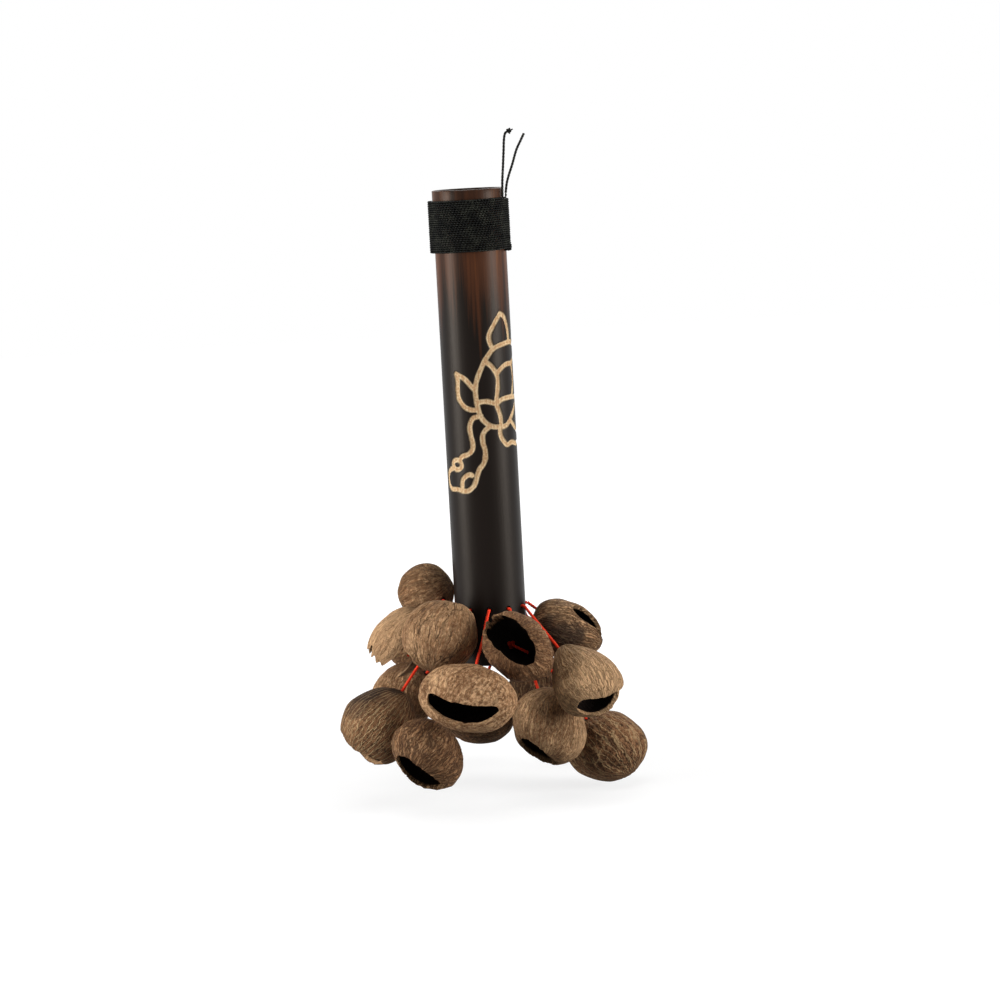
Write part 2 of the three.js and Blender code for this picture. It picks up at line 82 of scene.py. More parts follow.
# The whipping and the two loose ends of its cord
WHIPPING_LOW, WHIPPING_HIGH = (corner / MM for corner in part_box("whipping_under_layer"))
LOOP_SIDES = 20
LOOP_FLAT_R = 17.825
LOOP_R = LOOP_FLAT_R / math.cos(math.pi / LOOP_SIDES)
END_TURN = 68
END_BEND_R = 1.0
KNOTTED_EXIT_TURN = 66
KNOTTED_EXIT_R = 17.025
SEAT_GAP = 0.3
KNOTTED_ROUTE = (
    (0, 0, 0), (0.3, -0.3, 6.6), (1, -0.7, 13.8), (1.6, -1.1, 20.4), (2, -1.3, 25),
    (2.7, -1.1, 27.9), (4.4, -0.5, 29.1),
)
BARE_ROUTE = (
    (0, 0, 0), (0.7, 0.6, 4.1), (1.8, 1.8, 7.6), (3.7, 4.4, 12.5), (5.8, 7.6, 18.5),
    (7.9, 9.9, 22.5), (9.6, 12.4, 25.6),
)

# Red cords
TUBE_KNOT_D = 4.4
NUT_KNOT_D = 4.2
NUT_KNOT_LENGTH = 3.4
NUT_CORD_TAIL = 5.0

# The carved figure, as strokes on the unrolled tube: round it from the front line, and up from its middle,
# and its eye: the middle and the half axes
CARVED_STROKES = (
    ((21.0, 38.2), (15.3, 37.9), (8.3, 36.0), (3.7, 30.8), (0.3, 24.2), (-1.3, 18.5), (-0.8, 11.0),
     (0.7, 5.6), (4.5, 1.7), (9.5, 0.7), (14.0, 1.3), (19.2, 6.0), (25.0, 12.0), (29.6, 20.5), (30.5, 29.5),
     (27.0, 36.0), (21.0, 38.2)),
    ((3.7, 30.8), (6.0, 28.9), (8.1, 26.5), (9.4, 24.1), (9.7, 20.7), (9.3, 17.3), (8.1, 11.0)),
    ((-0.8, 12.0), (1.1, 12.6), (3.9, 12.6), (6.2, 11.9), (8.1, 11.0), (9.2, 8.3), (10.2, 5.0),
     (10.3, 0.8)),
    ((9.4, 24.4), (11.1, 26.2), (13.5, 27.7), (16.4, 28.4), (20.6, 28.5)),
    ((20.6, 28.5), (21.6, 25.2), (21.9, 20.6), (20.8, 17.0), (19.6, 13.4)),
    ((8.1, 11.0), (10.9, 12.7), (13.2, 13.3), (16.0, 13.4), (19.6, 13.4), (22.4, 13.2), (25.6, 12.7)),
    ((20.6, 28.5), (24.6, 30.0), (29.4, 33.2)),
    ((8.0, 36.0), (6.5, 39.2), (6.3, 41.9), (8.0, 45.2), (10.6, 48.6), (13.0, 51.4)),
    ((13.0, 51.4), (15.6, 49.9), (17.4, 46.8), (18.4, 43.6), (19.0, 38.2)),
    ((23.6, 37.8), (27.5, 41.5), (33.0, 43.5), (34.5, 39.0), (32.5, 33.0), (30.6, 28.0)),
    ((-1.4, 17.7), (-4.1, 21.0), (-6.4, 23.4), (-10.3, 25.5)),
    ((-10.3, 25.5), (-9.7, 22.5), (-9.9, 18.0), (-9.7, 14.9), (-8.6, 12.7), (-6.5, 10.4), (-3.6, 9.2),
     (-0.6, 9.1)),
    ((9.5, 0.8), (9.7, -3.4), (11.4, -6.2), (13.4, -7.8), (17.0, -7.0), (22.0, -8.0), (27.5, -7.4),
     (29.5, -4.4)),
    ((16.6, 2.9), (20.2, 0.2), (25.0, -2.6), (29.5, -4.4)),
    ((0.6, 6.2), (-2.1, 5.8), (-3.9, 4.4), (-4.9, 1.7), (-4.7, -1.5), (-4.0, -5.2), (-4.1, -8.4),
     (-6.0, -10.7), (-9.0, -11.6), (-10.6, -12.9)),
    ((4.6, 1.5), (2.0, -0.7), (0.8, -2.9), (0.8, -5.7), (1.6, -9.1), (1.6, -12.5), (0.5, -15.5),
     (-1.4, -17.8), (-2.6, -20.6), (-3.4, -23.0), (-4.4, -25.3)),
    ((-14.6, -16.9), (-18.4, -18.4), (-20.4, -20.6), (-20.2, -24.4), (-17.6, -26.8), (-13.2, -26.8),
     (-9.6, -27.5), (-6.9, -27.2), (-4.4, -25.3)),
    ((-5.0, -20.4), (-6.2, -20.0), (-8.3, -20.9), (-10.0, -23.0), (-10.4, -27.2)),
)
CARVED_EYE = (-12.7, -15.6, 2.7, 2.2)

# The nuts: the way the mouth faces (turn, dip, spin), the shell along, across and behind the mouth and how
# much narrower its back is, the mouth (long, short, its shift along and across, bend, and how ragged its
# edge is), and the skin: raised veins, cracks, ribs and grit, tone (0 dark, 0.5 plain, 1 pale) and how fine
# its fibres are. Each tone is set to how bright its nut looks where it hangs, so it holds the shell's own
# colour and also painted light and shade; nuts 12 and 14, hung behind the others, are made dark as painted
# shade.
Nut = namedtuple("Nut", "turn dip spin wide deep tall taper long short aside over bend rag "
                        "vein crack rib grit tone fine")
NUTS = (
    Nut(-140, -25, 20, 26, 25, 27, 0.13, 18, 8, 0, 0, 0, 1, 0.2, 0.3, 0.6, 0.5, 0.63, 1.2),
    Nut(-93, 52, 0, 28, 27, 36, 0.06, 24, 22, 0, 0, 0, 2.6, 0.2, 0.2, 0.4, 0.3, 0.92, 1),
    Nut(-112, 32, 0, 34, 33, 35, 0.06, 26, 8, 0, 0, 0, 1, 0.3, 0.9, 0.4, 0.4, 0.67, 1.1),
    Nut(-16, -20, 42, 37, 28, 31, 0.1, 32, 15, -2.3, -0.4, -0.6, 0.45, 0.1, 0.1, 0.7, 0.7, 0.39, 1.1),
    Nut(68, -50, 50, 36, 28, 26, 0.1, 23, 10, 5.5, 1.5, 0.4, 1, 0.25, 0.6, 1, 0.3, 0.62, 0.9),
    Nut(40, 45, -6, 31, 27, 37, 0.36, 29, 13, 2, -2.6, 1.6, 0.5, 0.6, 0.2, 0.7, 0.4, 1, 1.2),
    Nut(-76, 44, 38, 35, 33, 37, 0.13, 33, 17, -2.4, 0.2, 0, 0.5, 1, 0.1, 0.2, 0.5, 0.38, 1.1),
    Nut(-12, 7, 11, 44, 31, 32, 0.1, 34, 9.5, -0.4, -1.2, 4.4, 0.6, 0.1, 0.3, 0.2, 1, 0.66, 0.8),
    Nut(-36, 30, 62, 36, 27, 30, 0.1, 27, 14, 3.6, 0.2, 0.6, 0.5, 0.15, 0.1, 1, 0.3, 0.53, 1),
    Nut(-34, 40, 72, 38, 30, 34, 0.1, 23, 13, 2.4, 2.3, 0.6, 0.6, 0.5, 0.2, 0.6, 0.4, 0.7, 1.2),
    Nut(165, 25, 0, 38, 33, 35, 0.1, 24, 10, 0, 0, 0.5, 1, 0.65, 0.4, 0.3, 0.7, 0.34, 0.5),
    # Painted shade: this nut hangs behind the others, so its tone is set dark
    Nut(170, 40, 0, 34, 29, 31, 0.13, 24, 9, 0, 0, 0.4, 1, 0.3, 0.3, 0.6, 0.5, 0.24, 1),
    Nut(-165, 30, 15, 33, 29, 31, 0.13, 22, 9, 0, 0, 0.8, 1, 0.25, 0.3, 0.6, 0.4, 0.62, 1),
    # Painted shade: this nut hangs behind the others, so its tone is set dark
    Nut(165, 40, -20, 30, 26, 30, 0.13, 19, 8, 0, 0, 0.3, 1, 0.3, 0.3, 0.5, 0.5, 0.12, 1),
    Nut(185, 38, -15, 32, 28, 32, 0.13, 23, 11, 0, 0, 1, 1, 0.6, 0.3, 0.4, 0.5, 0.46, 1),
    Nut(180, 20, -30, 33, 29, 32, 0.13, 25, 12, 0, 0, 0.6, 1.2, 0.25, 0.8, 0.5, 0.4, 0.58, 0.9),
    Nut(150, 35, 10, 36, 30, 34, 0.15, 26, 10, 0, 0, 1.2, 0.9, 0.9, 0.2, 0.3, 0.5, 0.36, 0.9),
    Nut(210, 40, 25, 34, 30, 34, 0.15, 24, 9, 0, 0, 0.6, 1, 0.2, 0.45, 0.8, 0.4, 0.58, 1),
)
# The way that a shell's fibres run, where that isn't front to back
FIBRE_WAYS = {
    1: (0.9, -0.1, 0.4), 3: (0.35, 0.35, 0.87), 5: (0.9, 0.2, -0.35), 8: (0.6, 0.3, 0.7),
    10: (0.3, 0.25, 0.92), 11: (-0.6, 0.25, 0.76), 12: (0.9, 0.2, 0.1), 13: (0.15, 0.2, 0.97),
    14: (0.1, 0.3, 0.95),
}
NUT_WALL = 2.0
# How much of its half height a faceted shell reaches
NUT_FACET_REACH = 0.993
NUT_SIDES = 192
NUT_OUTER_ROWS = 112
NUT_LIP_ROWS = 3
NUT_INNER_ROWS = 24
FIBRE_STRETCH = 0.2
STRANDS = 38

# Seeds of the uneven waves
STALK_SEED = 3
CARVED_SEED = 5
WHIPPING_SEED = 21
NUT_SEED = 11


def linear(hex_colour):
    """A written colour as linear RGB."""
    parts = [int(hex_colour[place:place + 2], 16) / 255 for place in (1, 3, 5)]
    return tuple(part / 12.92 if part <= 0.04045 else ((part + 0.055) / 1.055) ** 2.4 for part in parts)


def colour_property(name, description, hex_colour):
    return bpy.props.FloatVectorProperty(name=name, description=description, subtype="COLOR", size=3,
                                         min=0, max=1, default=linear(hex_colour))


def length_property(name, description, millimetres):
    return bpy.props.FloatProperty(name=name, description=description, unit="LENGTH", precision=5,
                                   min=0, default=millimetres * MM)


def power_property(name, description, watts):
    return bpy.props.FloatProperty(name=name, description=description, unit="POWER", min=0, default=watts)


class ShakerTubeSettings(bpy.types.PropertyGroup):
    line_width: length_property("Carved line", "Width of the carved figure's line", 2.1)
    line_depth: length_property("Carved depth", "Depth of the carved figure's line", 0.4)
    stain: colour_property("Stain", "Dark stain of the tube", "#0d0807")
    streak: colour_property("Streak", "Brown streaks below the whipping", "#432617")
    warm: colour_property("Warm streak", "Lighter streaks beside the whipping", "#714320")
    shade: colour_property("Shade", "Darkest stain", "#070504")
    carved: colour_property("Carved wood", "Bare wood in the carved line", "#cdb58f")
    fleck: colour_property("Fleck", "Brown flecks in the carved line", "#9c6e46")
    cut: colour_property("Cut wood", "Stained wood of the ends and the bore", "#33241a")


class ShakerCordSettings(bpy.types.PropertyGroup):
    black_thickness: length_property("Black cord", "Thickness of the whipping's cord", 0.95)
    black_lay: length_property("Black lay", "Length of one twist of the black cord", 3.0)
    whipping_turns: bpy.props.IntProperty(name="Turns", description="Turns of the whipping", min=4,
                                          default=24)
    red_thickness: length_property("Red cord", "Thickness of the nuts' cords", 1.55)
    red_lay: length_property("Red lay", "Length of one twist of the red cord", 4.2)
    black: colour_property("Black", "Waxed black cord", "#070707")
    # The paler colour of the painted glints on the black cord
    black_painted_glint: colour_property("Black with painted glints", "Painted glints on the black cord", "#3c3d35")
    red: colour_property("Red", "Dyed red cord", "#e23c22")
    # Painted shade of the red cord
    red_painted_shade: colour_property("Dark red", "Painted shade on the red cord, in noise patches", "#a5240f")


class ShakerNutSettings(bpy.types.PropertyGroup):
    dark: colour_property("Dark", "Dark brown of the shells", "#3a2617")
    brown: colour_property("Brown", "Middle brown of the shells", "#7f5b3e")
    tan: colour_property("Tan", "Pale worn colour of the shells", "#c79f76")
    # Dark of cracks and furrows: partly their own colour, partly painted shade in the creases
    groove: colour_property("Groove", "Colour in cracks and furrows", "#2a1a10")
    vein: colour_property("Vein", "Raised fibres on the shells", "#b4976f")
    # Darkening colour: soot on some shells, and painted shade on the underside of nut 2
    soot_and_painted_shade: colour_property("Soot and painted shade", "Blackened patches and painted shade on the shells", "#1d1a1a")
    # Painted shade inside the shells and round each cord's entry
    inside: colour_property("Inside", "Painted shade inside the shells and round the cord's entry", "#150c08")


class ShakerStageSettings(bpy.types.PropertyGroup):
    lens: bpy.props.FloatProperty(name="Lens", description="Focal length of the camera", default=120.0,
                                  min=1, unit="CAMERA")
    side_light: power_property("Side lights", "Power of the brightest side lamp", 23.0)
    top_light: power_property("Top light", "Power of the lamp above", 10.0)
    room_light: bpy.props.FloatProperty(name="Room light", description="Level of the light from all sides",
                                        default=0.07, min=0, max=1, subtype="FACTOR")
    floor: colour_property("Floor", "Colour of the floor", "#8c8c8c")


class ShakerSettings(bpy.types.PropertyGroup):
    tube: bpy.props.PointerProperty(type=ShakerTubeSettings, name="Tube", description="Bamboo tube")
    cords: bpy.props.PointerProperty(type=ShakerCordSettings, name="Cords", description="Black and red cords")
    nuts: bpy.props.PointerProperty(type=ShakerNutSettings, name="Nuts", description="Nut shells")
    stage: bpy.props.PointerProperty(type=ShakerStageSettings, name="Stage",
                                     description="Camera, lamps and floor")


# Node trees

class Wire:
    """A node socket in a Python expression. Each operator adds a Math node."""

    def __init__(self, graph, socket):
        self.graph = graph
        self.socket = socket

    def math(self, operation, *values):
        return self.graph.node("ShaderNodeMath", {"operation": operation}, dict(enumerate(values)))

    def most(self, other):
        return self.math("MAXIMUM", self, other)

    def off(self, other):
        """The distance from another value."""
        return self.math("ABSOLUTE", self - other)

    def __add__(self, other):
        return self.math("ADD", self, other)

    def __sub__(self, other):
        return self.math("SUBTRACT", self, other)

    def __rsub__(self, other):
        return self.math("SUBTRACT", other, self)

    def __mul__(self, other):
        return self.math("MULTIPLY", self, other)

    def __truediv__(self, other):
        return self.math("DIVIDE", self, other)

    def __rtruediv__(self, other):
        return self.math("DIVIDE", other, self)

    __radd__ = __add__
    __rmul__ = __mul__


class Graph:
    """A node tree, with one method that adds any node."""

    def __init__(self, tree):
        self.tree = tree

    def node(self, kind, settings=None, sockets=None, output=0):
        """Add a node, its settings first and then the values or links of its sockets."""
        made = self.tree.nodes.new(kind)
        for name, value in (settings or {}).items():
            setattr(made, name, value)
        for key, value in (sockets or {}).items():
            socket = self.find(made.inputs, key)
            if isinstance(value, Wire):
                self.tree.links.new(value.socket, socket)
            elif socket.type == "RGBA" and len(value) == 3:
                socket.default_value = (*value, 1.0)
            else:
                socket.default_value = value
        return Wire(self, self.find(made.outputs, output)) if made.outputs else made

    @staticmethod
    def find(sockets, key):
        if isinstance(key, int):
            return sockets[key]
        for socket in sockets:
            if key in (socket.identifier, socket.name) and not socket.is_unavailable:
                return socket
        raise KeyError(key)

    def other(self, wire, output):
        """Another output of a node that is already there."""
        return Wire(self, self.find(wire.socket.node.outputs, output))

    def vector(self, operation, first, second=(0.0, 0.0, 0.0)):
        return self.node("ShaderNodeVectorMath", {"operation": operation}, {0: first, 1: second})

    def scaled(self, vector, factor):
        return self.node("ShaderNodeVectorMath", {"operation": "SCALE"}, {0: vector, "Scale": factor})

    def blend(self, factor, first, second, kind="MIX"):
        settings = {"data_type": "RGBA", "blend_type": kind}
        sockets = {"Factor_Float": factor, "A_Color": first, "B_Color": second}
        return self.node("ShaderNodeMix", settings, sockets, "Result_Color")

    def step(self, value, low, high):
        sockets = {"Value": value, "From Min": low, "From Max": high}
        return self.node("ShaderNodeMapRange", {"interpolation_type": "SMOOTHSTEP"}, sockets)

    def noise(self, vector, scale, detail=2.0, roughness=0.5, output="Fac"):
        sockets = {"Vector": vector, "Scale": scale, "Detail": detail, "Roughness": roughness}
        return self.node("ShaderNodeTexNoise", {}, sockets, output)

    def attribute(self, name, output="Fac"):
        return self.node("ShaderNodeAttribute", {"attribute_name": name}, {}, output)

    def place(self):
        return self.node("ShaderNodeTexCoord", {}, {}, "Object")

    def finish(self, colour, roughness, height, constants):
        """End in a shader with a colour, a roughness and a height in millimetres for its bumps."""
        normal = self.node("ShaderNodeBump", {}, {"Strength": 1.0, "Distance": MM, "Height": height})
        sockets = {"Base Color": colour, "Roughness": roughness, "Normal": normal, **constants}
        shader = self.node("ShaderNodeBsdfPrincipled", {}, sockets)
        self.node("ShaderNodeOutputMaterial", {}, {"Surface": shader})


def new_finish(name):
    material = bpy.data.materials.new(name)
    material.use_nodes = True
    material.node_tree.nodes.clear()
    return material, Graph(material.node_tree)


# Materials

# Heights between which the tube's colour changes, in metres
BROWN_FADE = (0.022, 0.084)
RIM_FADE = (0.099, 0.104)
# The bamboo's grain, drawn out along the tube
GRAIN_SQUEEZE = (1.0, 1.0, 0.035)


def bamboo_finish(settings):
    material, graph = new_finish("stained bamboo")
    place = graph.place()
    along = graph.node("ShaderNodeMapping", {}, {"Vector": place, "Scale": GRAIN_SQUEEZE})
    streak = graph.noise(along, 430.0, 3.0, 0.6)
    broad = graph.noise(along, 130.0, 2.0, 0.5)
    fine = graph.noise(along, 1500.0, 2.0, 0.6)
    speck = graph.noise(place, 1100.0, 2.0, 0.6)
    height = graph.node("ShaderNodeSeparateXYZ", {}, {"Vector": place}, "Z")
    upper = graph.step(height, *BROWN_FADE)
    carve = graph.attribute("carve")
    cut = graph.attribute("cut")
    burn = graph.attribute("burn")

    # Dark stain, brown streaks towards the whipping, a darker rim and scorched holes
    drawn = streak * 0.5 + broad * 0.5 + upper * 0.32
    brown = graph.step(drawn, 0.60, 0.86)
    warm = graph.step(drawn + (fine - 0.5) * 0.2, 0.84, 1.0)
    dark = graph.step(broad * 0.6 + fine * 0.4, 0.40, 0.66)
    base = graph.blend(dark * 0.5, settings.stain, settings.shade)
    base = graph.blend(brown, base, settings.streak)
    base = graph.blend(warm * 0.6, base, settings.warm)
    base = graph.blend(graph.step(height, *RIM_FADE) * 0.45, base, settings.shade)
    base = graph.blend(burn * 0.8, base, settings.shade)

    # Bare wood in the carved line and cut wood at the ends
    flecks = graph.step(fine * 0.5 + speck * 0.5 + graph.attribute("line") * 0.16, 0.46, 0.70)
    bare = graph.blend(flecks * 0.75, settings.carved, settings.fleck)
    base = graph.blend(carve, base, bare)
    base = graph.blend(cut, base, graph.blend(fine, settings.cut, settings.shade))

    raw = carve + cut
    roughness = 0.36 + fine * 0.08 + raw * 0.36
    bumps = (fine - 0.5) * 0.02 + (streak - 0.5) * 0.05 + (speck - 0.5) * raw * 0.12
    graph.finish(base, roughness, bumps, {"Specular IOR Level": 0.11, "Specular Tint": (1.0, 0.87, 0.74)})
    return material


def black_cord_finish(settings):
    material, graph = new_finish("waxed black cord")
    place = graph.place()
    fibre = graph.noise(place, 2600.0, 3.0, 0.65)
    patch = graph.noise(place, 260.0, 2.0, 0.5)
    # Painted glints: paler patches laid by noise stand in for highlights on the cord's strands
    painted_glint = graph.step(fibre * 0.7 + patch * 0.4, 0.50, 0.80)
    base = graph.blend(painted_glint, settings.black, settings.black_painted_glint)
    graph.finish(base, 0.50 - painted_glint * 0.1, (fibre - 0.5) * 0.06, {"Specular IOR Level": 0.06})
    return material


def red_cord_finish(settings):
    material, graph = new_finish("dyed red cord")
    place = graph.place()
    fibre = graph.noise(place, 2600.0, 3.0, 0.65)
    patch = graph.noise(place, 200.0, 2.0, 0.5)
    # Painted shade: darker patches laid by noise stand in for shade between the strands
    shade = graph.step(fibre * 0.6 + patch * 0.5, 0.44, 0.80)
    base = graph.blend(shade * 0.45, settings.red, settings.red_painted_shade)
    graph.finish(base, 0.68 + fibre * 0.1, (fibre - 0.5) * 0.06, {"Specular IOR Level": 0.1})
    return material


# From the middle of a strand's line to its edge, as shares of the strands' spacing
STRAND_EDGES = (0.04, 0.13)


def strand_lines(graph, fibre, count):
    """Thin lines that fan out along a shell's fibres, a given number round it: 1 on a line, 0 off it."""
    across = graph.node("ShaderNodeSeparateXYZ", {}, {"Vector": fibre}, "X")
    turn = across.math("ARCTAN2", graph.other(across, "Y"), across) / (2 * math.pi)
    place = turn * count
    return 1 - graph.step(place.math("FRACT", place).off(0.5), *STRAND_EDGES)


def contour(graph, noise, edges):
    """Lines where a noise passes its middle: 1 on a line, 0 off it."""
    return 1 - graph.step(noise.off(0.5), *edges)


def nut_finish(settings):
    material, graph = new_finish("weathered nut shell")
    place = graph.place()
    fibre = graph.attribute("fibre", "Vector")
    look = graph.attribute("look", "Color")
    inside = graph.other(look, "Alpha")
    vein_share = graph.node("ShaderNodeSeparateColor", {}, {"Color": look}, "Red")
    crack_share = graph.other(vein_share, "Green")
    tone = graph.other(vein_share, "Blue")
    skin = graph.attribute("skin", "Color")
    count = graph.other(skin, "Alpha")
    rib_share = graph.node("ShaderNodeSeparateColor", {}, {"Color": skin}, "Red")
    grit_share = graph.other(rib_share, "Green")
    soot_and_painted_shade = graph.other(rib_share, "Blue")

    # The fibres' coordinates, bent in four ways
    half = (0.5, 0.5, 0.5)
    wander = graph.vector("SUBTRACT", graph.noise(place, 105.0, 2.0, 0.5, "Color"), half)
    wobble = graph.vector("SUBTRACT", graph.noise(place, 430.0, 2.0, 0.5, "Color"), half)
    bent = graph.vector("ADD", fibre, graph.scaled(wander, 5.0))
    strands = graph.vector("ADD", bent, graph.scaled(wobble, 1.3))
    wavy = graph.vector("ADD", bent, graph.scaled(wobble, 2.4))
    others = graph.vector("SUBTRACT", fibre, graph.scaled(wander, 7.0))
    others = graph.vector("SUBTRACT", others, graph.scaled(wobble, 2.0))

    cells = {"Vector": strands, "Scale": 0.19}
    split = graph.node("ShaderNodeTexVoronoi", {"feature": "DISTANCE_TO_EDGE"}, cells, "Distance")
    ridge = graph.noise(strands, 0.62, 2.0, 0.5)
    grain = graph.noise(strands, 1.5, 3.0, 0.6)
    crease = graph.noise(strands, 0.42, 2.0, 0.55)
    mottle = graph.noise(place, 640.0, 3.0, 0.62)
    blotch = graph.noise(place, 85.0, 2.0, 0.5)
    fade = graph.step(graph.noise(place, 190.0, 2.0, 0.5), 0.34, 0.56)

    # Raised veins, cracks between plates, and furrows
    vein = strand_lines(graph, wavy, count).most(strand_lines(graph, others, count) * fade) * vein_share
    crack = (1 - graph.step(split, 0.0, 0.06)) * crack_share * graph.step(blotch, 0.34, 0.50)
    ribs = contour(graph, ridge, (0.01, 0.09)).most(strand_lines(graph, strands, count * 1.5) * fade)
    wrinkle = contour(graph, crease, (0.008, 0.036))
    furrow = (ribs * rib_share).most(wrinkle * (rib_share * 0.3 + 0.6))

    shade = tone + (grain - 0.5) * 0.8 + (blotch - 0.5) * 0.5
    shade = shade + (mottle - 0.5) * (grit_share * 1.2 + 0.4)
    base = graph.blend(graph.step(shade, 0.02, 0.50), settings.dark, settings.brown)
    base = graph.blend(graph.step(shade, 0.46, 1.0), base, settings.tan)
    # Soot on some shells, and painted shade on the underside of nut 2
    base = graph.blend(soot_and_painted_shade * (mottle * 0.6 + 0.5), base, settings.soot_and_painted_shade)
    base = graph.blend(vein * (0.8 - soot_and_painted_shade * 0.4), base, settings.vein)
    # Cracks and furrows take the groove colour: partly their own darker colour, partly painted shade in the
    # creases
    base = graph.blend(crack.most(furrow * 0.85) * 0.9, base, settings.groove)
    # Painted shade: the inside and a ring round the cord's entry take the near-black inside colour
    base = graph.blend(inside, base, settings.inside)

    bumps = vein * 0.30 - crack * 0.40 - furrow * 0.42 + (grain - 0.5) * 0.55
    bumps = bumps + (mottle - 0.5) * (grit_share * 0.55 + 0.15)
    graph.finish(base, 0.72 + mottle * 0.1, bumps, {"Specular IOR Level": 0.1})
    return material


# Meshes

def outward(turn):
    """The level direction at a turn about the tube: 0 faces -Y, 90 faces +X."""
    angle = math.radians(turn)
    return np.array((math.sin(angle), -math.cos(angle), 0.0))


def unit(vectors):
    return vectors / np.linalg.norm(vectors, axis=-1, keepdims=True)


def smooth_path(points, count):
    """Points along a smooth curve through a few given ones."""
    given = np.asarray(points, float)
    ends = np.vstack((2 * given[0] - given[1], given, 2 * given[-1] - given[-2]))
    found = []
    for share in np.linspace(0, len(given) - 1, count):
        place = min(int(share), len(given) - 2)
        part = share - place
        before, start, end, after = ends[place:place + 4]
        found.append(0.5 * (2 * start + (end - before) * part
                            + (2 * before - 5 * start + 4 * end - after) * part ** 2
                            + (3 * start - before - 3 * end + after) * part ** 3))
    return np.array(found)


def ripples(points, wavelength, seed, count=9):
    """Smooth uneven waves over points, about -1 to 1."""
    numbers = np.random.default_rng(seed)
    ways = unit(numbers.normal(size=(count, points.shape[-1])))
    ways *= (2 * np.pi / wavelength) * numbers.uniform(0.65, 1.35, (count, 1))
    phases = numbers.uniform(0, 2 * np.pi, count)
    return np.sin(points @ ways.T + phases).sum(axis=-1) / math.sqrt(2 * count)


def add_object(name, mesh):
    made = bpy.data.objects.new(name, mesh)
    bpy.context.scene.collection.objects.link(made)
    return made


def remove_object(made):
    data = made.data
    bpy.data.objects.remove(made)
    if isinstance(data, bpy.types.Curve):
        bpy.data.curves.remove(data)
    else:
        bpy.data.meshes.remove(data)


def plain_mesh(made, name):
    """The evaluated object as a mesh of its own; the object with its modifiers goes."""
    graph = bpy.context.evaluated_depsgraph_get()
    mesh = bpy.data.meshes.new_from_object(made.evaluated_get(graph), depsgraph=graph)
    remove_object(made)
    mesh.name = name
    return add_object(name, mesh)


def set_attribute(mesh, name, kind, values):
    field = {"FLOAT": "value", "FLOAT_VECTOR": "vector", "FLOAT_COLOR": "color"}[kind]
    layer = mesh.attributes.new(name, kind, "POINT")
    layer.data.foreach_set(field, np.ascontiguousarray(values, np.float32).ravel())


def points_of(mesh):
    points = np.empty(len(mesh.vertices) * 3)
    mesh.vertices.foreach_get("co", points)
    return points.reshape(-1, 3)


def grid_mesh(name, rings, looped):
    """A closed form from rings of points in metres: looped end to end, or with a pole at each end."""
    count, sides = rings.shape[:2]
    here = np.arange(count if looped else count - 1)[:, None] * sides + np.arange(sides)
    after = np.roll(np.arange(sides), -1)
    following = np.roll(np.arange(count), -1)[: len(here)]
    beyond = following[:, None] * sides
    quads = np.stack((here, here[:, after], beyond + after, beyond + np.arange(sides)), -1).reshape(-1, 4)
    points = rings.reshape(-1, 3)
    fans = []
    if not looped:
        poles = np.stack((rings[0].mean(axis=0), rings[-1].mean(axis=0)))
        first = len(points)
        points = np.vstack((points, poles))
        last = (count - 1) * sides
        fans = [(first, int(after[side]), side) for side in range(sides)]
        fans += [(first + 1, last + side, last + int(after[side])) for side in range(sides)]
    corners = points[quads]
    halves = np.cross(corners[:, 1], corners[:, 2]) + np.cross(corners[:, 2], corners[:, 3])
    volume = np.einsum("ij,ij->", corners[:, 0], halves)
    faces = quads.tolist() + [list(fan) for fan in fans]
    if volume < 0:
        faces = [face[::-1] for face in faces]
    mesh = bpy.data.meshes.new(name)
    mesh.from_pydata(points.tolist(), [], faces)
    mesh.shade_smooth()
    return mesh


DRILL_SIDES = 20
SHARP_ANGLE = math.radians(40)


def drilled(made, lines, radius, name, sides=DRILL_SIDES):
    """The object with a round hole along each given line, from its start to its end."""
    points = []
    faces = []
    for start, end in lines:
        start = Vector(start)
        turn = (Vector(end) - start).to_track_quat("Z", "Y")
        length = (Vector(end) - start).length
        first = len(points)
        for height in (0.0, length):
            for side in range(sides):
                angle = 2 * math.pi * side / sides
                corner = Vector((radius * math.cos(angle), radius * math.sin(angle), height))
                points.append(start + turn @ corner)
        faces.append([first + side for side in reversed(range(sides))])
        faces.append([first + sides + side for side in range(sides)])
        for side in range(sides):
            after = (side + 1) % sides
            faces.append([first + side, first + after, first + sides + after, first + sides + side])
    mesh = bpy.data.meshes.new("drills")
    mesh.from_pydata(points, [], faces)
    drills = add_object("drills", mesh)
    cut = made.modifiers.new("holes", "BOOLEAN")
    cut.operation = "DIFFERENCE"
    cut.solver = "EXACT"
    cut.object = drills
    result = plain_mesh(made, name)
    remove_object(drills)
    result.data.shade_smooth()
    result.data.set_sharp_from_angle(angle=SHARP_ANGLE)
    return result


def dress(made, material, body, slot, *nodes):
    """Give a finished piece its material and its body, and hide the nodes that it stands for. The slot is not
    used.
    """
    made.data.materials.clear()
    made.data.materials.append(material)
    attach(made, body)
    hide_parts(*nodes)


# Cords

def new_tree(name, sockets):
    """A geometry node tree with named inputs: its graph and its group input."""
    tree = bpy.data.node_groups.new(name, "GeometryNodeTree")
    for title, kind, default in (("Geometry", "Geometry", None), *sockets, ("Finish", "Material", None)):
        socket = tree.interface.new_socket(name=title, in_out="INPUT", socket_type="NodeSocket" + kind)
        if default is not None:
            socket.default_value = default
    tree.interface.new_socket(name="Geometry", in_out="OUTPUT", socket_type="NodeSocketGeometry")
    graph = Graph(tree)
    return graph, graph.node("NodeGroupInput")


def close_tree(graph, given, geometry):
    """End a tree in real geometry with the given finish."""
    whole = graph.node("GeometryNodeRealizeInstances", {}, {"Geometry": geometry})
    finish = graph.other(given, "Finish")
    shown = graph.node("GeometryNodeSetMaterial", {}, {"Geometry": whole, "Material": finish})
    graph.node("NodeGroupOutput", {}, {"Geometry": shown})
    return graph.tree


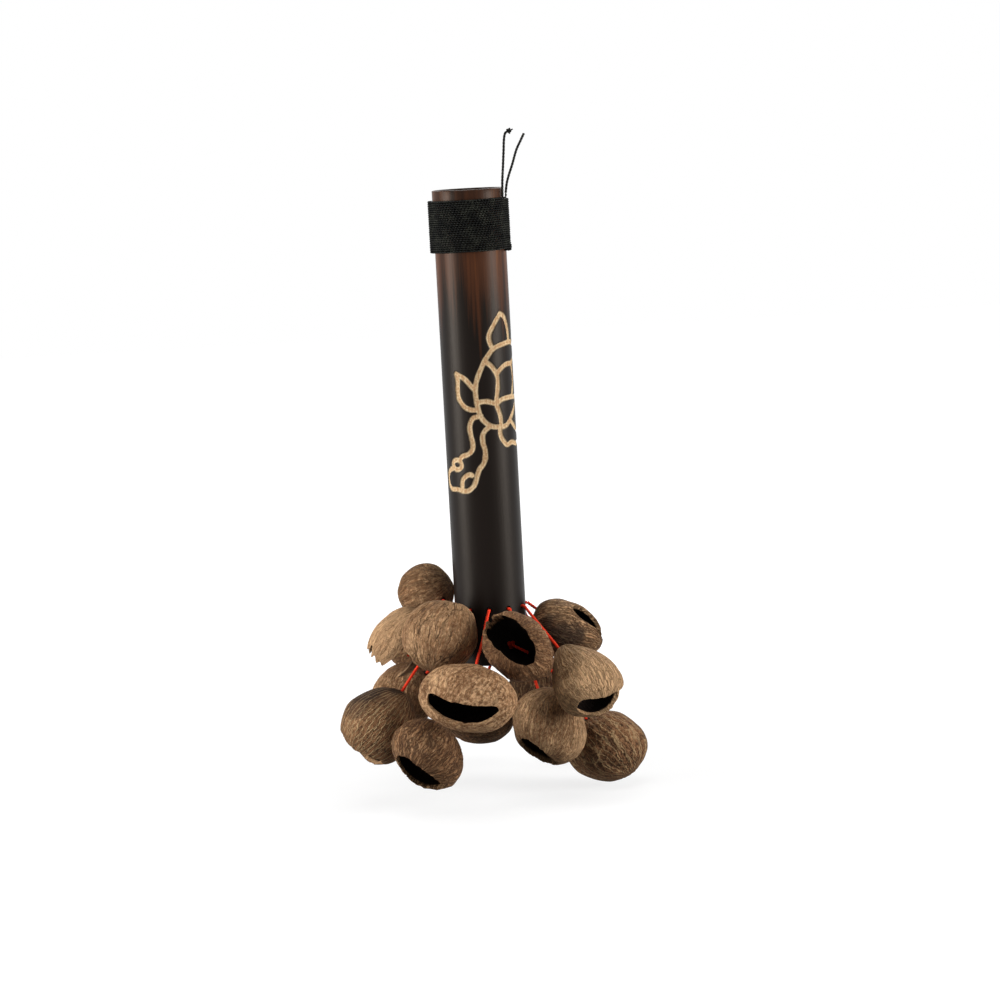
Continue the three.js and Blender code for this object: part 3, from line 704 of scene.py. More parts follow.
def laid_cord_tree():
    """Sweep a twisted cord along each spline of a curve."""
    graph, given = new_tree("laid cord", (
        ("Thickness", "Float", MM), ("Lay", "Float", 3 * MM), ("Strands", "Int", 3),
        ("Hollow", "Float", 0.15), ("Sides", "Int", 12), ("Steps", "Float", 8.0),
    ))
    thickness, lay, strands, hollow, sides, steps = (
        graph.other(given, name) for name in ("Thickness", "Lay", "Strands", "Hollow", "Sides", "Steps"))
    path = graph.node("GeometryNodeResampleCurve", {"mode": "LENGTH"},
                      {"Curve": given, "Length": lay / steps})
    run = graph.node("GeometryNodeSplineParameter", {}, {}, "Length")
    path = graph.node("GeometryNodeSetCurveTilt", {}, {"Curve": path, "Tilt": run / lay * (2 * math.pi)})
    ring = graph.node("GeometryNodeCurvePrimitiveCircle", {"mode": "RADIUS"},
                      {"Resolution": sides, "Radius": thickness * 0.5 / (1 + hollow)})
    turn = graph.node("GeometryNodeSplineParameter", {}, {}, "Factor") * strands * (2 * math.pi)
    swell = graph.scaled(graph.node("GeometryNodeInputPosition"), turn.math("COSINE", turn) * hollow)
    ring = graph.node("GeometryNodeSetPosition", {}, {"Geometry": ring, "Offset": swell})
    swept = graph.node("GeometryNodeCurveToMesh", {},
                       {"Curve": path, "Profile Curve": ring, "Fill Caps": True})
    smooth = graph.node("GeometryNodeSetShadeSmooth", {}, {"Geometry": swept})
    return close_tree(graph, given, smooth)


def knots_in_holes_tree():
    """Put a knot at every point, with its cord outwards from the tube's axis."""
    graph, given = new_tree("knots in holes", (("Knot", "Object", None), ("Size", "Float", 1.0)))
    knot = graph.node("GeometryNodeObjectInfo", {}, {"Object": graph.other(given, "Knot")}, "Geometry")
    level = graph.vector("MULTIPLY", graph.node("GeometryNodeInputPosition"), (1.0, 1.0, 0.0))
    facing = graph.node("FunctionNodeAlignRotationToVector", {"axis": "Z"}, {"Vector": level})
    places = {"Points": given, "Instance": knot, "Rotation": facing, "Scale": graph.other(given, "Size")}
    return close_tree(graph, given, graph.node("GeometryNodeInstanceOnPoints", {}, places))


def add_nodes(made, tree, values):
    """Put a node tree on an object, its named inputs set by their identifiers."""
    modifier = made.modifiers.new(tree.name, "NODES")
    modifier.node_group = tree
    for item in tree.interface.items_tree:
        if item.in_out == "INPUT" and item.name in values:
            modifier[item.identifier] = values[item.name]


def cord_mesh(name, paths, finish, **values):
    """A twisted cord along paths in millimetres, as one plain mesh."""
    curve = bpy.data.curves.new(name, "CURVE")
    curve.dimensions = "3D"
    for path in paths:
        spline = curve.splines.new("POLY")
        spline.points.add(len(path) - 1)
        flat = np.column_stack((np.asarray(path) * MM, np.ones(len(path))))
        spline.points.foreach_set("co", flat.ravel())
    made = add_object(name, curve)
    tree = bpy.data.node_groups.get("laid cord") or laid_cord_tree()
    add_nodes(made, tree, {"Finish": finish, **values})
    return plain_mesh(made, name)


KNOT_SPAN = 6
KNOT_RISE = 1.7


def knot_path(middle, way, size, thickness, count=72):
    """An overhand knot drawn tight, about a middle and across a direction."""
    scale = (size - thickness) / KNOT_SPAN
    angle = np.linspace(0, 2 * np.pi, count)
    form = np.stack((np.sin(angle) + 2 * np.sin(2 * angle), np.cos(angle) - 2 * np.cos(2 * angle),
                     -KNOT_RISE * np.sin(3 * angle)), -1)
    turn = np.array(Vector(way).to_track_quat("Z", "Y").to_matrix())
    return np.asarray(middle) + (form * scale) @ turn.T


def finish_of(name, maker, settings):
    return bpy.data.materials.get(name) or maker(settings)


def settings_of(context):
    return context.scene.shaker


# Stage

class SHAKER_OT_stage(bpy.types.Operator):
    """Set up the camera, the lamps, the white surroundings and the floor"""
    bl_idname = "shaker.stage"
    bl_label = "Stage"

    CAMERA_PLACE = (0.00708, -1.50496, 0.14888)
    CAMERA_PITCH = 6.93
    CAMERA_ROLL = 3.114
    SENSOR_WIDTH = 36.0
    CLIP_END = 20.0
    # Name, place, size, the setting of its power and its share of that
    LAMPS = (
        ("left lamp", (-1.2, -0.4, 0.12), (0.56, 0.56), "side_light", 1.0),
        ("right lamp", (1.2, -0.4, 0.12), (0.56, 0.56), "side_light", 0.85),
        ("back lamp", (0.25, 1.3, 0.6), (1.0, 0.8), "side_light", 0.25),
        ("top lamp", (0.0, -0.5, 1.3), (1.1, 1.1), "top_light", 1.0),
    )
    LAMP_AIM = (0, 0, -0.03)
    FLOOR_HALF = 3.0
    FLOOR_DROP = 0.0015
    FLOOR_LIFT = 0.76
    FLOOR_FADE = (0.12, 0.5)

    def camera(self, context, lens):
        pitch = math.radians(self.CAMERA_PITCH)
        roll = math.radians(self.CAMERA_ROLL)
        level = Vector((1, 0, 0))
        ahead = Vector((0, math.cos(pitch), -math.sin(pitch)))
        upright = Vector((0, math.sin(pitch), math.cos(pitch)))
        right = math.cos(roll) * level - math.sin(roll) * upright
        up = math.sin(roll) * level + math.cos(roll) * upright
        data = bpy.data.cameras.new("camera")
        data.lens = lens
        data.sensor_width = self.SENSOR_WIDTH
        data.clip_end = self.CLIP_END
        made = add_object("camera", data)
        turned = Matrix((right, up, -ahead)).transposed().to_4x4()
        made.matrix_world = Matrix.Translation(self.CAMERA_PLACE) @ turned
        context.scene.camera = made

    def lamp(self, name, place, size, power):
        data = bpy.data.lights.new(name, "AREA")
        data.shape = "RECTANGLE"
        data.size, data.size_y = size
        data.energy = power
        made = add_object(name, data)
        made.location = place
        made.rotation_euler = (Vector(self.LAMP_AIM) - Vector(place)).to_track_quat("-Z", "Y").to_euler()

    @staticmethod
    def seen(graph):
        """1 for what the camera, a reflection or a clear surface looks at, 0 for light on the object."""
        path = graph.node("ShaderNodeLightPath", {}, {}, "Is Camera Ray")
        return path.most(graph.other(path, "Is Glossy Ray")).most(graph.other(path, "Is Transmission Ray"))

    def surroundings(self, context, level):
        world = bpy.data.worlds.new("white surroundings")
        world.use_nodes = True
        world.node_tree.nodes.clear()
        graph = Graph(world.node_tree)
        shown = self.seen(graph)
        strength = shown + (1 - shown) * level
        light = graph.node("ShaderNodeBackground", {}, {"Color": (1.0, 1.0, 1.0), "Strength": strength})
        graph.node("ShaderNodeOutputWorld", {}, {"Surface": light})
        context.scene.world = world

    def floor(self, colour):
        material, graph = new_finish("pale floor")
        shade = graph.node("ShaderNodeBsdfDiffuse", {}, {"Color": tuple(colour)})
        off = graph.node("ShaderNodeVectorMath", {"operation": "LENGTH"}, {0: graph.place()}, "Value")
        far = graph.step(off, *self.FLOOR_FADE)
        white = graph.blend(far, (self.FLOOR_LIFT,) * 3, (1.0, 1.0, 1.0))
        lift = graph.node("ShaderNodeEmission", {}, {"Color": white, "Strength": self.seen(graph)})
        both = graph.node("ShaderNodeAddShader", {}, {0: shade, 1: lift})
        graph.node("ShaderNodeOutputMaterial", {}, {"Surface": both})
        low = CAD_BOX[0][2] - self.FLOOR_DROP
        half = self.FLOOR_HALF
        mesh = bpy.data.meshes.new("floor")
        corners = [(-half, -half, low), (half, -half, low), (half, half, low), (-half, half, low)]
        mesh.from_pydata(corners, [], [(0, 1, 2, 3)])
        mesh.materials.append(material)
        add_object("floor", mesh)

    def execute(self, context):
        settings = settings_of(context).stage
        context.scene.view_settings.view_transform = "Standard"
        self.camera(context, settings.lens)
        for name, place, size, setting, share in self.LAMPS:
            self.lamp(name, place, size, getattr(settings, setting) * share)
        self.surroundings(context, settings.room_light)
        self.floor(settings.floor)
        return {"FINISHED"}


# The handle

class SHAKER_OT_loose_ends(bpy.types.Operator):
    """Make the two loose ends of the whipping's cord, one with a knot"""
    bl_idname = "shaker.loose_ends"
    bl_label = "Loose ends"

    POINTS = 30
    TAIL_POINTS = 10
    SWELL = 1.3
    KNOT_D = 2.8
    KNOT_SWELL = 0.85
    KNOT_FACING = (0.7, -0.5, 0.4)
    KNOT_TAILS = (((1.0, 0.1, 0.1), (1.7, 0.3, 0.5)), ((0.3, -0.3, -0.8), (0.2, -0.5, -1.5)))

    def end(self, name, node, exit_point, route, far_end, cords, finish, extra):
        path = smooth_path(np.asarray(route) + exit_point, self.POINTS)
        made = cord_mesh(name, [path], finish, Thickness=cords.black_thickness * self.SWELL,
                         Lay=cords.black_lay, Strands=2, Hollow=0.1, Sides=12, Steps=10.0)
        dress(made, finish, HANDLE, "black_cord", node)
        tuple(exit_point * MM)

    def execute(self, context):
        cords = settings_of(context).cords
        finish = finish_of("waxed black cord", black_cord_finish, cords)
        top = WHIPPING_HIGH.z
        thick = cords.black_thickness / MM
        under_exit = outward(KNOTTED_EXIT_TURN) * KNOTTED_EXIT_R + (0, 0, top + SEAT_GAP)
        tip = under_exit + KNOTTED_ROUTE[-1]
        paths = [knot_path(tip, self.KNOT_FACING, self.KNOT_D, thick)]
        for tail in self.KNOT_TAILS:
            paths.append(smooth_path([tip, *(tip + point for point in tail)], self.TAIL_POINTS))
        knot = cord_mesh("loose_end_knot", paths, finish, Thickness=cords.black_thickness * self.KNOT_SWELL,
                         Lay=cords.black_lay, Strands=2, Hollow=0.14, Sides=10, Steps=10.0)
        dress(knot, finish, HANDLE, "black_cord")
        self.end("loose_end_with_knot", "loose_end_knotted", under_exit, KNOTTED_ROUTE, "knot", cords, finish,
                 [knot])

        outer_exit = outward(END_TURN) * LOOP_R + outward(END_TURN + 90) * END_BEND_R
        outer_exit = outer_exit + (0, 0, top - thick / 2 + END_BEND_R + thick + SEAT_GAP)
        self.end("loose_end_plain", "loose_end_bare", outer_exit, BARE_ROUTE, "bare", cords, finish, [])
        return {"FINISHED"}


def holes():
    """Each cord hole, as its level on the tube's axis and the way outwards, in metres."""
    for joint in frame["joints"]:
        pivot = Vector(joint["pos_m"])
        yield Vector((0, 0, pivot.z)), Vector((pivot.x, pivot.y, 0)).normalized()


class SHAKER_OT_tube(bpy.types.Operator):
    """Make the stained bamboo tube with its carved figure and cord holes"""
    bl_idname = "shaker.tube"
    bl_label = "Bamboo tube"

    FINE_STEP = 0.36
    FINE_TURNS = (-82.0, 136.0)
    FINE_HEIGHTS = (-35.0, 55.0)
    COARSE_STEP = 2.0
    BORE_STEP = 12.0
    EDGE_STEPS = 4
    END_FACE_SHARES = (0.33, 0.67)
    EYE_POINTS = 60
    STROKE_POINTS = 8
    STROKE_STEP = 0.15
    CARVED_DEEPEST = 1.2
    CARVED_BLUR = 0.4
    CARVED_WAVE = 5.0
    CARVED_UNEVEN = 0.08
    # The stalk's own unevenness, drawn out along it
    STALK_SQUEEZE = (1, 1, 0.08)
    STALK_WAVE = 26.0
    STALK_HEIGHT = 0.1
    OUTER_SKIN = 0.05
    # From the tube's axis, in metres
    DRILL_REACH = (0.010, 0.020)
    BURN_REACH = 3.4
    BURN_DEPTH = 3.5
    CUT_DEPTH = 0.9
    CUT_BLUR = 0.4
    BURNT = 0.95

    @staticmethod
    def spread(low, high, step):
        return np.linspace(low, high, max(int(round((high - low) / step)), 1) + 1)

    def turns(self):
        step = math.degrees(self.FINE_STEP / TUBE_R)
        low, high = self.FINE_TURNS
        fine = self.spread(low, high, step)
        rest = self.spread(high, low + 360, step * 4)
        return np.concatenate((fine[:-1], rest[:-1]))

    def profile(self):
        """Radius and height along the tube's section: up the outside, over the rim and down the bore."""
        low, high = self.FINE_HEIGHTS
        bottom, top = TUBE_LOW.z + EDGE_ROUND, TUBE_HIGH.z - EDGE_ROUND
        heights = np.concatenate((self.spread(bottom, low, self.COARSE_STEP)[:-1],
                                  self.spread(low, high, self.FINE_STEP)[:-1],
                                  self.spread(high, top, self.COARSE_STEP)))
        bore = TUBE_R - TUBE_WALL
        outer = TUBE_R - EDGE_ROUND
        inner = bore + EDGE_ROUND
        angles = np.radians(self.spread(0, 90, 90 / self.EDGE_STEPS))[1:]
        sines = EDGE_ROUND * np.sin(angles)
        cosines = EDGE_ROUND * np.cos(angles)
        rows = [(TUBE_R, height) for height in heights]
        rows += zip(outer + cosines, top + sines)
        rows += [(outer - (outer - inner) * share, TUBE_HIGH.z) for share in self.END_FACE_SHARES]
        rows += [(inner, TUBE_HIGH.z), *zip(inner - sines, top + cosines)]
        rows += [(bore, height) for height in self.spread(bottom, top, self.BORE_STEP)[-2::-1]]
        rows += zip(inner - cosines, bottom - sines)
        rows += [(inner + (outer - inner) * share, TUBE_LOW.z) for share in self.END_FACE_SHARES]
        rows += [(outer, TUBE_LOW.z), *zip(outer + sines[:-1], bottom - cosines[:-1])]
        return np.array(rows)

    def figure(self):
        """Close-set points along every stroke of the carved figure."""
        around = np.linspace(0, 2 * np.pi, self.EYE_POINTS)
        across, up, half_width, half_height = CARVED_EYE
        strokes = [smooth_path(stroke, len(stroke) * self.STROKE_POINTS) for stroke in CARVED_STROKES]
        eye = (across + half_width * np.cos(around), up + half_height * np.sin(around))
        strokes.append(np.column_stack(eye))
        close = []
        for stroke in strokes:
            for first, second in zip(stroke[:-1], stroke[1:]):
                count = max(int(np.linalg.norm(second - first) / self.STROKE_STEP), 1)
                close.extend(first + (second - first) * step / count for step in range(count))
            close.append(stroke[-1])
        return np.array(close)

    def carving(self, points, width):
        """How far each point of the outer face lies in a carved line and how near its middle, 0 to 1."""
        strokes = self.figure()
        tree = kdtree.KDTree(len(strokes))
        for place, (across, up) in enumerate(strokes):
            tree.insert((across, up, 0.0), place)
        tree.balance()
        around = np.arctan2(points[:, 0], -points[:, 1]) * TUBE_R
        radius = np.hypot(points[:, 0], points[:, 1])
        low, high = self.FINE_HEIGHTS
        near = (radius > TUBE_R - self.CARVED_DEEPEST) & (points[:, 2] > low) & (points[:, 2] < high)
        gap = np.full(len(points), np.inf)
        for place in np.nonzero(near)[0]:
            gap[place] = tree.find((around[place], points[place, 2], 0.0))[2]
        uneven = ripples(np.column_stack((around, points[:, 2])), self.CARVED_WAVE, CARVED_SEED)
        reach = width / 2 * (1 + self.CARVED_UNEVEN * uneven)
        return np.clip((reach - gap) / self.CARVED_BLUR + 0.5, 0, 1), np.clip(1 - gap / reach, 0, 1)

    @staticmethod
    def rings(radius, height, turns):
        return np.stack((radius * np.sin(turns), -radius * np.cos(turns), height), -1)

    def execute(self, context):
        settings = settings_of(context).tube
        width = settings.line_width / MM
        turns = np.radians(self.turns())
        profile = self.profile()
        radius = np.repeat(profile[:, :1], len(turns), axis=1)
        height = np.repeat(profile[:, 1:], len(turns), axis=1)
        flat = self.rings(radius, height, turns).reshape(-1, 3)
        carve = self.carving(flat, width)[0].reshape(radius.shape)
        stalk = ripples(flat * self.STALK_SQUEEZE, self.STALK_WAVE, STALK_SEED).reshape(radius.shape)
        outside = radius > TUBE_R - self.OUTER_SKIN
        radius = radius - carve * settings.line_depth / MM
        radius = radius + np.where(outside, (stalk - 1) * self.STALK_HEIGHT, 0)
        rings = self.rings(radius, height, turns)
        made = add_object("bamboo_tube_solid", grid_mesh("bamboo_tube_solid", rings * MM, True))
        start, end = self.DRILL_REACH
        lines = [(level + way * start, level + way * end) for level, way in holes()]
        made = drilled(made, lines, HOLE_R * MM, "stained_tube")

        points = points_of(made.data) / MM
        radius = np.hypot(points[:, 0], points[:, 1])
        burn = np.zeros(len(points))
        for level, way in holes():
            from_axis = points - np.array(level) / MM
            off = np.linalg.norm(from_axis - np.outer(from_axis @ way, way), axis=1)
            burn = np.maximum(burn, np.clip((self.BURN_REACH - off) / (self.BURN_REACH - HOLE_R), 0, 1))
        cut = np.clip((TUBE_R - self.CUT_DEPTH - radius) / self.CUT_BLUR, 0, 1) * (burn < self.BURNT)
        carve, line = self.carving(points, width)
        burn = burn * (radius > TUBE_R - self.BURN_DEPTH)
        for name, values in (("carve", carve), ("line", line), ("cut", cut), ("burn", burn)):
            set_attribute(made.data, name, "FLOAT", values)
        finish = finish_of("stained bamboo", bamboo_finish, settings)
        dress(made, finish, HANDLE, "stained_bamboo", "bamboo_tube")
        return {"FINISHED"}


class SHAKER_OT_whipping(bpy.types.Operator):
    """Wind the black cord round the top of the tube in two layers"""
    bl_idname = "shaker.whipping"
    bl_label = "Whipping"

    STEPS = 60
    UNDER_STEPS = 48
    SWELL = 1.12
    SINK = 0.2
    SWAY = 0.05
    SWAY_WAVE = 14.0
    SLIDE_WAVE = 9.0
    TURN_APART = 7.0
    # The bulge at the lower edge: its turn and height, and how far it spreads round and up
    BUMP_TURN = 80.0
    BUMP_HEIGHT = 0.55
    BUMP_SPREAD = 11
    BUMP_LEVEL = 1.4
    BUMP_RISE = 1.3
    UNDER_GAP = 0.02
    UNDER_RISE = (0.0, 0.6, 1.25)
    BEND_STEPS = 7
    BEND_ROOM = 4

    def winding(self, turns, radius, thick, steps, sway):
        """The middle line of a layer of turns, each a little out of true."""
        share = np.linspace(0, turns, turns * steps + 1)
        turn = np.radians(END_TURN - (turns - share) * 360)
        low = WHIPPING_LOW.z + thick / 2
        height = low + share * (WHIPPING_HIGH.z - WHIPPING_LOW.z - thick) / turns
        apart = np.column_stack((np.sin(turn) * radius, -np.cos(turn) * radius, share * self.TURN_APART))
        out = radius + sway * ripples(apart, self.SWAY_WAVE, WHIPPING_SEED)
        height = height + sway / 2 * ripples(apart, self.SLIDE_WAVE, WHIPPING_SEED + 1)
        off = (np.degrees(turn) - self.BUMP_TURN + 180) % 360 - 180
        bump = np.exp(-(off / self.BUMP_SPREAD) ** 2)
        bump = bump * np.exp(-((height - low - self.BUMP_LEVEL) / self.BUMP_RISE) ** 2)
        out = out + self.BUMP_HEIGHT * bump
        return np.column_stack((np.sin(turn) * out, -np.cos(turn) * out, height))

    def execute(self, context):
        cords = settings_of(context).cords
        finish = finish_of("waxed black cord", black_cord_finish, cords)
        thick = cords.black_thickness / MM
        turns = cords.whipping_turns
        outer = self.winding(turns, LOOP_R - self.SINK, thick, self.STEPS, self.SWAY)
        along = outward(END_TURN + 90)
        start = outward(END_TURN) * LOOP_R + (0, 0, WHIPPING_HIGH.z - thick / 2)
        bend = []
        for angle in np.linspace(0, np.pi / 2, self.BEND_STEPS)[1:]:
            rise = np.array((0, 0, END_BEND_R * (1 - math.cos(angle))))
            bend.append(start + along * END_BEND_R * math.sin(angle) + rise)
        bend.append(bend[-1] + (0, 0, thick + SEAT_GAP))
        outer = np.vstack((outer[:-self.BEND_ROOM], np.array(bend)))
        made = cord_mesh("whipping_turns", [outer], finish, Thickness=cords.black_thickness * self.SWELL,
                         Lay=cords.black_lay, Strands=2, Hollow=0.34, Sides=12, Steps=8.0)
        dress(made, finish, HANDLE, "black_cord", "whipping_cord")

        under = self.winding(turns, TUBE_R + thick / 2 + self.UNDER_GAP, thick, self.UNDER_STEPS, 0.0)
        lift = outward(KNOTTED_EXIT_TURN) * KNOTTED_EXIT_R
        rise = np.array([lift + (0, 0, WHIPPING_HIGH.z - thick + step) for step in self.UNDER_RISE])
        made = cord_mesh("whipping_under_turns", [under, rise], finish, Thickness=cords.black_thickness,
                         Lay=cords.black_lay, Strands=2, Hollow=0.05, Sides=6, Steps=1.2)
        dress(made, finish, HANDLE, "black_cord", "whipping_under_layer")
        return {"FINISHED"}


class SHAKER_OT_tube_knots(bpy.types.Operator):
    """Put a knot of red cord behind every hole in the tube"""
    bl_idname = "shaker.tube_knots"
    bl_label = "Knots in the tube"

    KNOT_DEPTH = 0.4
    KNOT_POINTS = 60
    STUB_PAST = 0.75
    STUB_POINTS = 12
    TAIL = ((0.3, 0, 0), (0.8, 0.6, -2.2), (0.2, 1.4, -3.6))
    TAIL_POINTS = 12
    # From the tube's axis, in metres, so that each place has a direction outwards
    OFF_AXIS = 1e-6

    def execute(self, context):
        cords = settings_of(context).cords
        finish = finish_of("dyed red cord", red_cord_finish, cords)
        middle = TUBE_R - TUBE_WALL - SEAT_GAP - TUBE_KNOT_D * self.KNOT_DEPTH
        heights = np.linspace(middle, TUBE_R + self.STUB_PAST, self.STUB_POINTS)
        stub = np.array([(0, 0, height) for height in heights])
        tail = smooth_path(np.array(self.TAIL) + (0, 0, middle), self.TAIL_POINTS)
        loops = knot_path((0, 0, middle), (0, 0, 1), TUBE_KNOT_D, cords.red_thickness / MM,
                          self.KNOT_POINTS)
        knot = cord_mesh("knot_form", [loops, stub, tail], finish, Thickness=cords.red_thickness,
                         Lay=cords.red_lay, Strands=3, Hollow=0.14, Sides=9, Steps=6.0)
        places = bpy.data.meshes.new("hole_places")
        places.from_pydata([level + way * self.OFF_AXIS for level, way in holes()], [], [])
        made = add_object("tube_knots", places)
        add_nodes(made, knots_in_holes_tree(), {"Knot": knot, "Size": 1.0, "Finish": finish})
        made = plain_mesh(made, "tube_knots")
        remove_object(knot)
        made.data.shade_smooth()
        nodes = [name for name in frame["nodes"] if name.startswith("tube_knot_")]
        dress(made, finish, HANDLE, "red_cord", *nodes)
        return {"FINISHED"}


# The nuts and their cords

def nut_axes(nut):
    """A nut's own axes as columns: along its mouth, across it and up its back."""
    dip = math.radians(nut.dip)
    back = -(outward(nut.turn) * math.cos(dip) - np.array((0, 0, math.sin(dip))))
    spin = Matrix.Rotation(math.radians(nut.spin), 3, Vector(back))
    along = np.array(spin @ Vector(outward(nut.turn + 90)))
    return np.column_stack((along, np.cross(back, along), back))


def nut_centre(nut, number):
    """Where the shell's middle is, measured from its node, in millimetres."""
    axes = nut_axes(nut)
    own = points_of(frame["nodes"][f"nut_shell_{number:02d}"].data) / MM @ axes
    low, high = own.min(axis=0), own.max(axis=0)
    middle = (low + high) / 2
    middle[2] = high[2] - nut.tall / 2 * NUT_FACET_REACH
    return axes @ middle


def cord_line(nut, number):
    """A nut's pivot and its middle, and the way and the distance from one to the other."""
    pivot = np.array(frame["joints"][number - 1]["pos_m"]) / MM
    centre = nut_centre(nut, number)
    return pivot, centre, unit(centre - pivot), np.linalg.norm(centre - pivot)


class SHAKER_OT_nut_cords(bpy.types.Operator):
    """Make each nut's red cord with its stopper knot and tail"""
    bl_idname = "shaker.nut_cords"
    bl_label = "Nut cords"

    POINTS = 24
    KNOT_POINTS = 60
    SLACK = 0.25
    SLACK_ACROSS = (0.3, 0.2, 0.9)
    # A tail's course from within its knot: on along the cord, and down
    TAIL_FROM = 0.6
    TAIL_COURSE = ((0, 0), (1.6, 1.4), (1.8, 4.6), (1.5, 8.0))
    TAIL_POINTS = 22
    TAIL_WAYS = {4: (0.9, -0.35, -0.45)}

    def tail(self, number, start, way):
        """The cord's end under its knot. Each nut's falls its own way."""
        plain = (0.5 * math.sin(number * 2.1), 0.5 * math.cos(number * 1.7), -0.8)
        fall = unit(np.array(self.TAIL_WAYS.get(number, plain)))
        course = [start + way * on + fall * down for on, down in self.TAIL_COURSE]
        return smooth_path(course, self.TAIL_POINTS)

    def execute(self, context):
        cords = settings_of(context).cords
        finish = finish_of("dyed red cord", red_cord_finish, cords)
        for number, nut in enumerate(NUTS, 1):
            node = f"nut_cord_{number:02d}"
            pivot, _, way, _ = cord_line(nut, number)
            reach = ((points_of(frame["nodes"][node].data) / MM - pivot) @ way).max()
            under = reach - NUT_CORD_TAIL
            middle = under - NUT_KNOT_LENGTH / 2
            share = np.linspace(0, 1, self.POINTS)
            side = unit(np.cross(way, self.SLACK_ACROSS))
            slack = self.SLACK * np.sin(share * np.pi * 2 + number) * np.sin(share * np.pi)
            line = pivot + np.outer(share * middle, way) + np.outer(slack, side)
            knot = knot_path(pivot + way * middle, way, NUT_KNOT_D, cords.red_thickness / MM,
                             self.KNOT_POINTS)
            paths = [line, knot, self.tail(number, pivot + way * (under - self.TAIL_FROM), way)]
            made = cord_mesh(f"red_cord_{number:02d}", paths, finish, Thickness=cords.red_thickness,
                             Lay=cords.red_lay, Strands=3, Hollow=0.15, Sides=12, Steps=8.0)
            dress(made, finish, f"nut_{number:02d}", "red_cord", node)
        return {"FINISHED"}


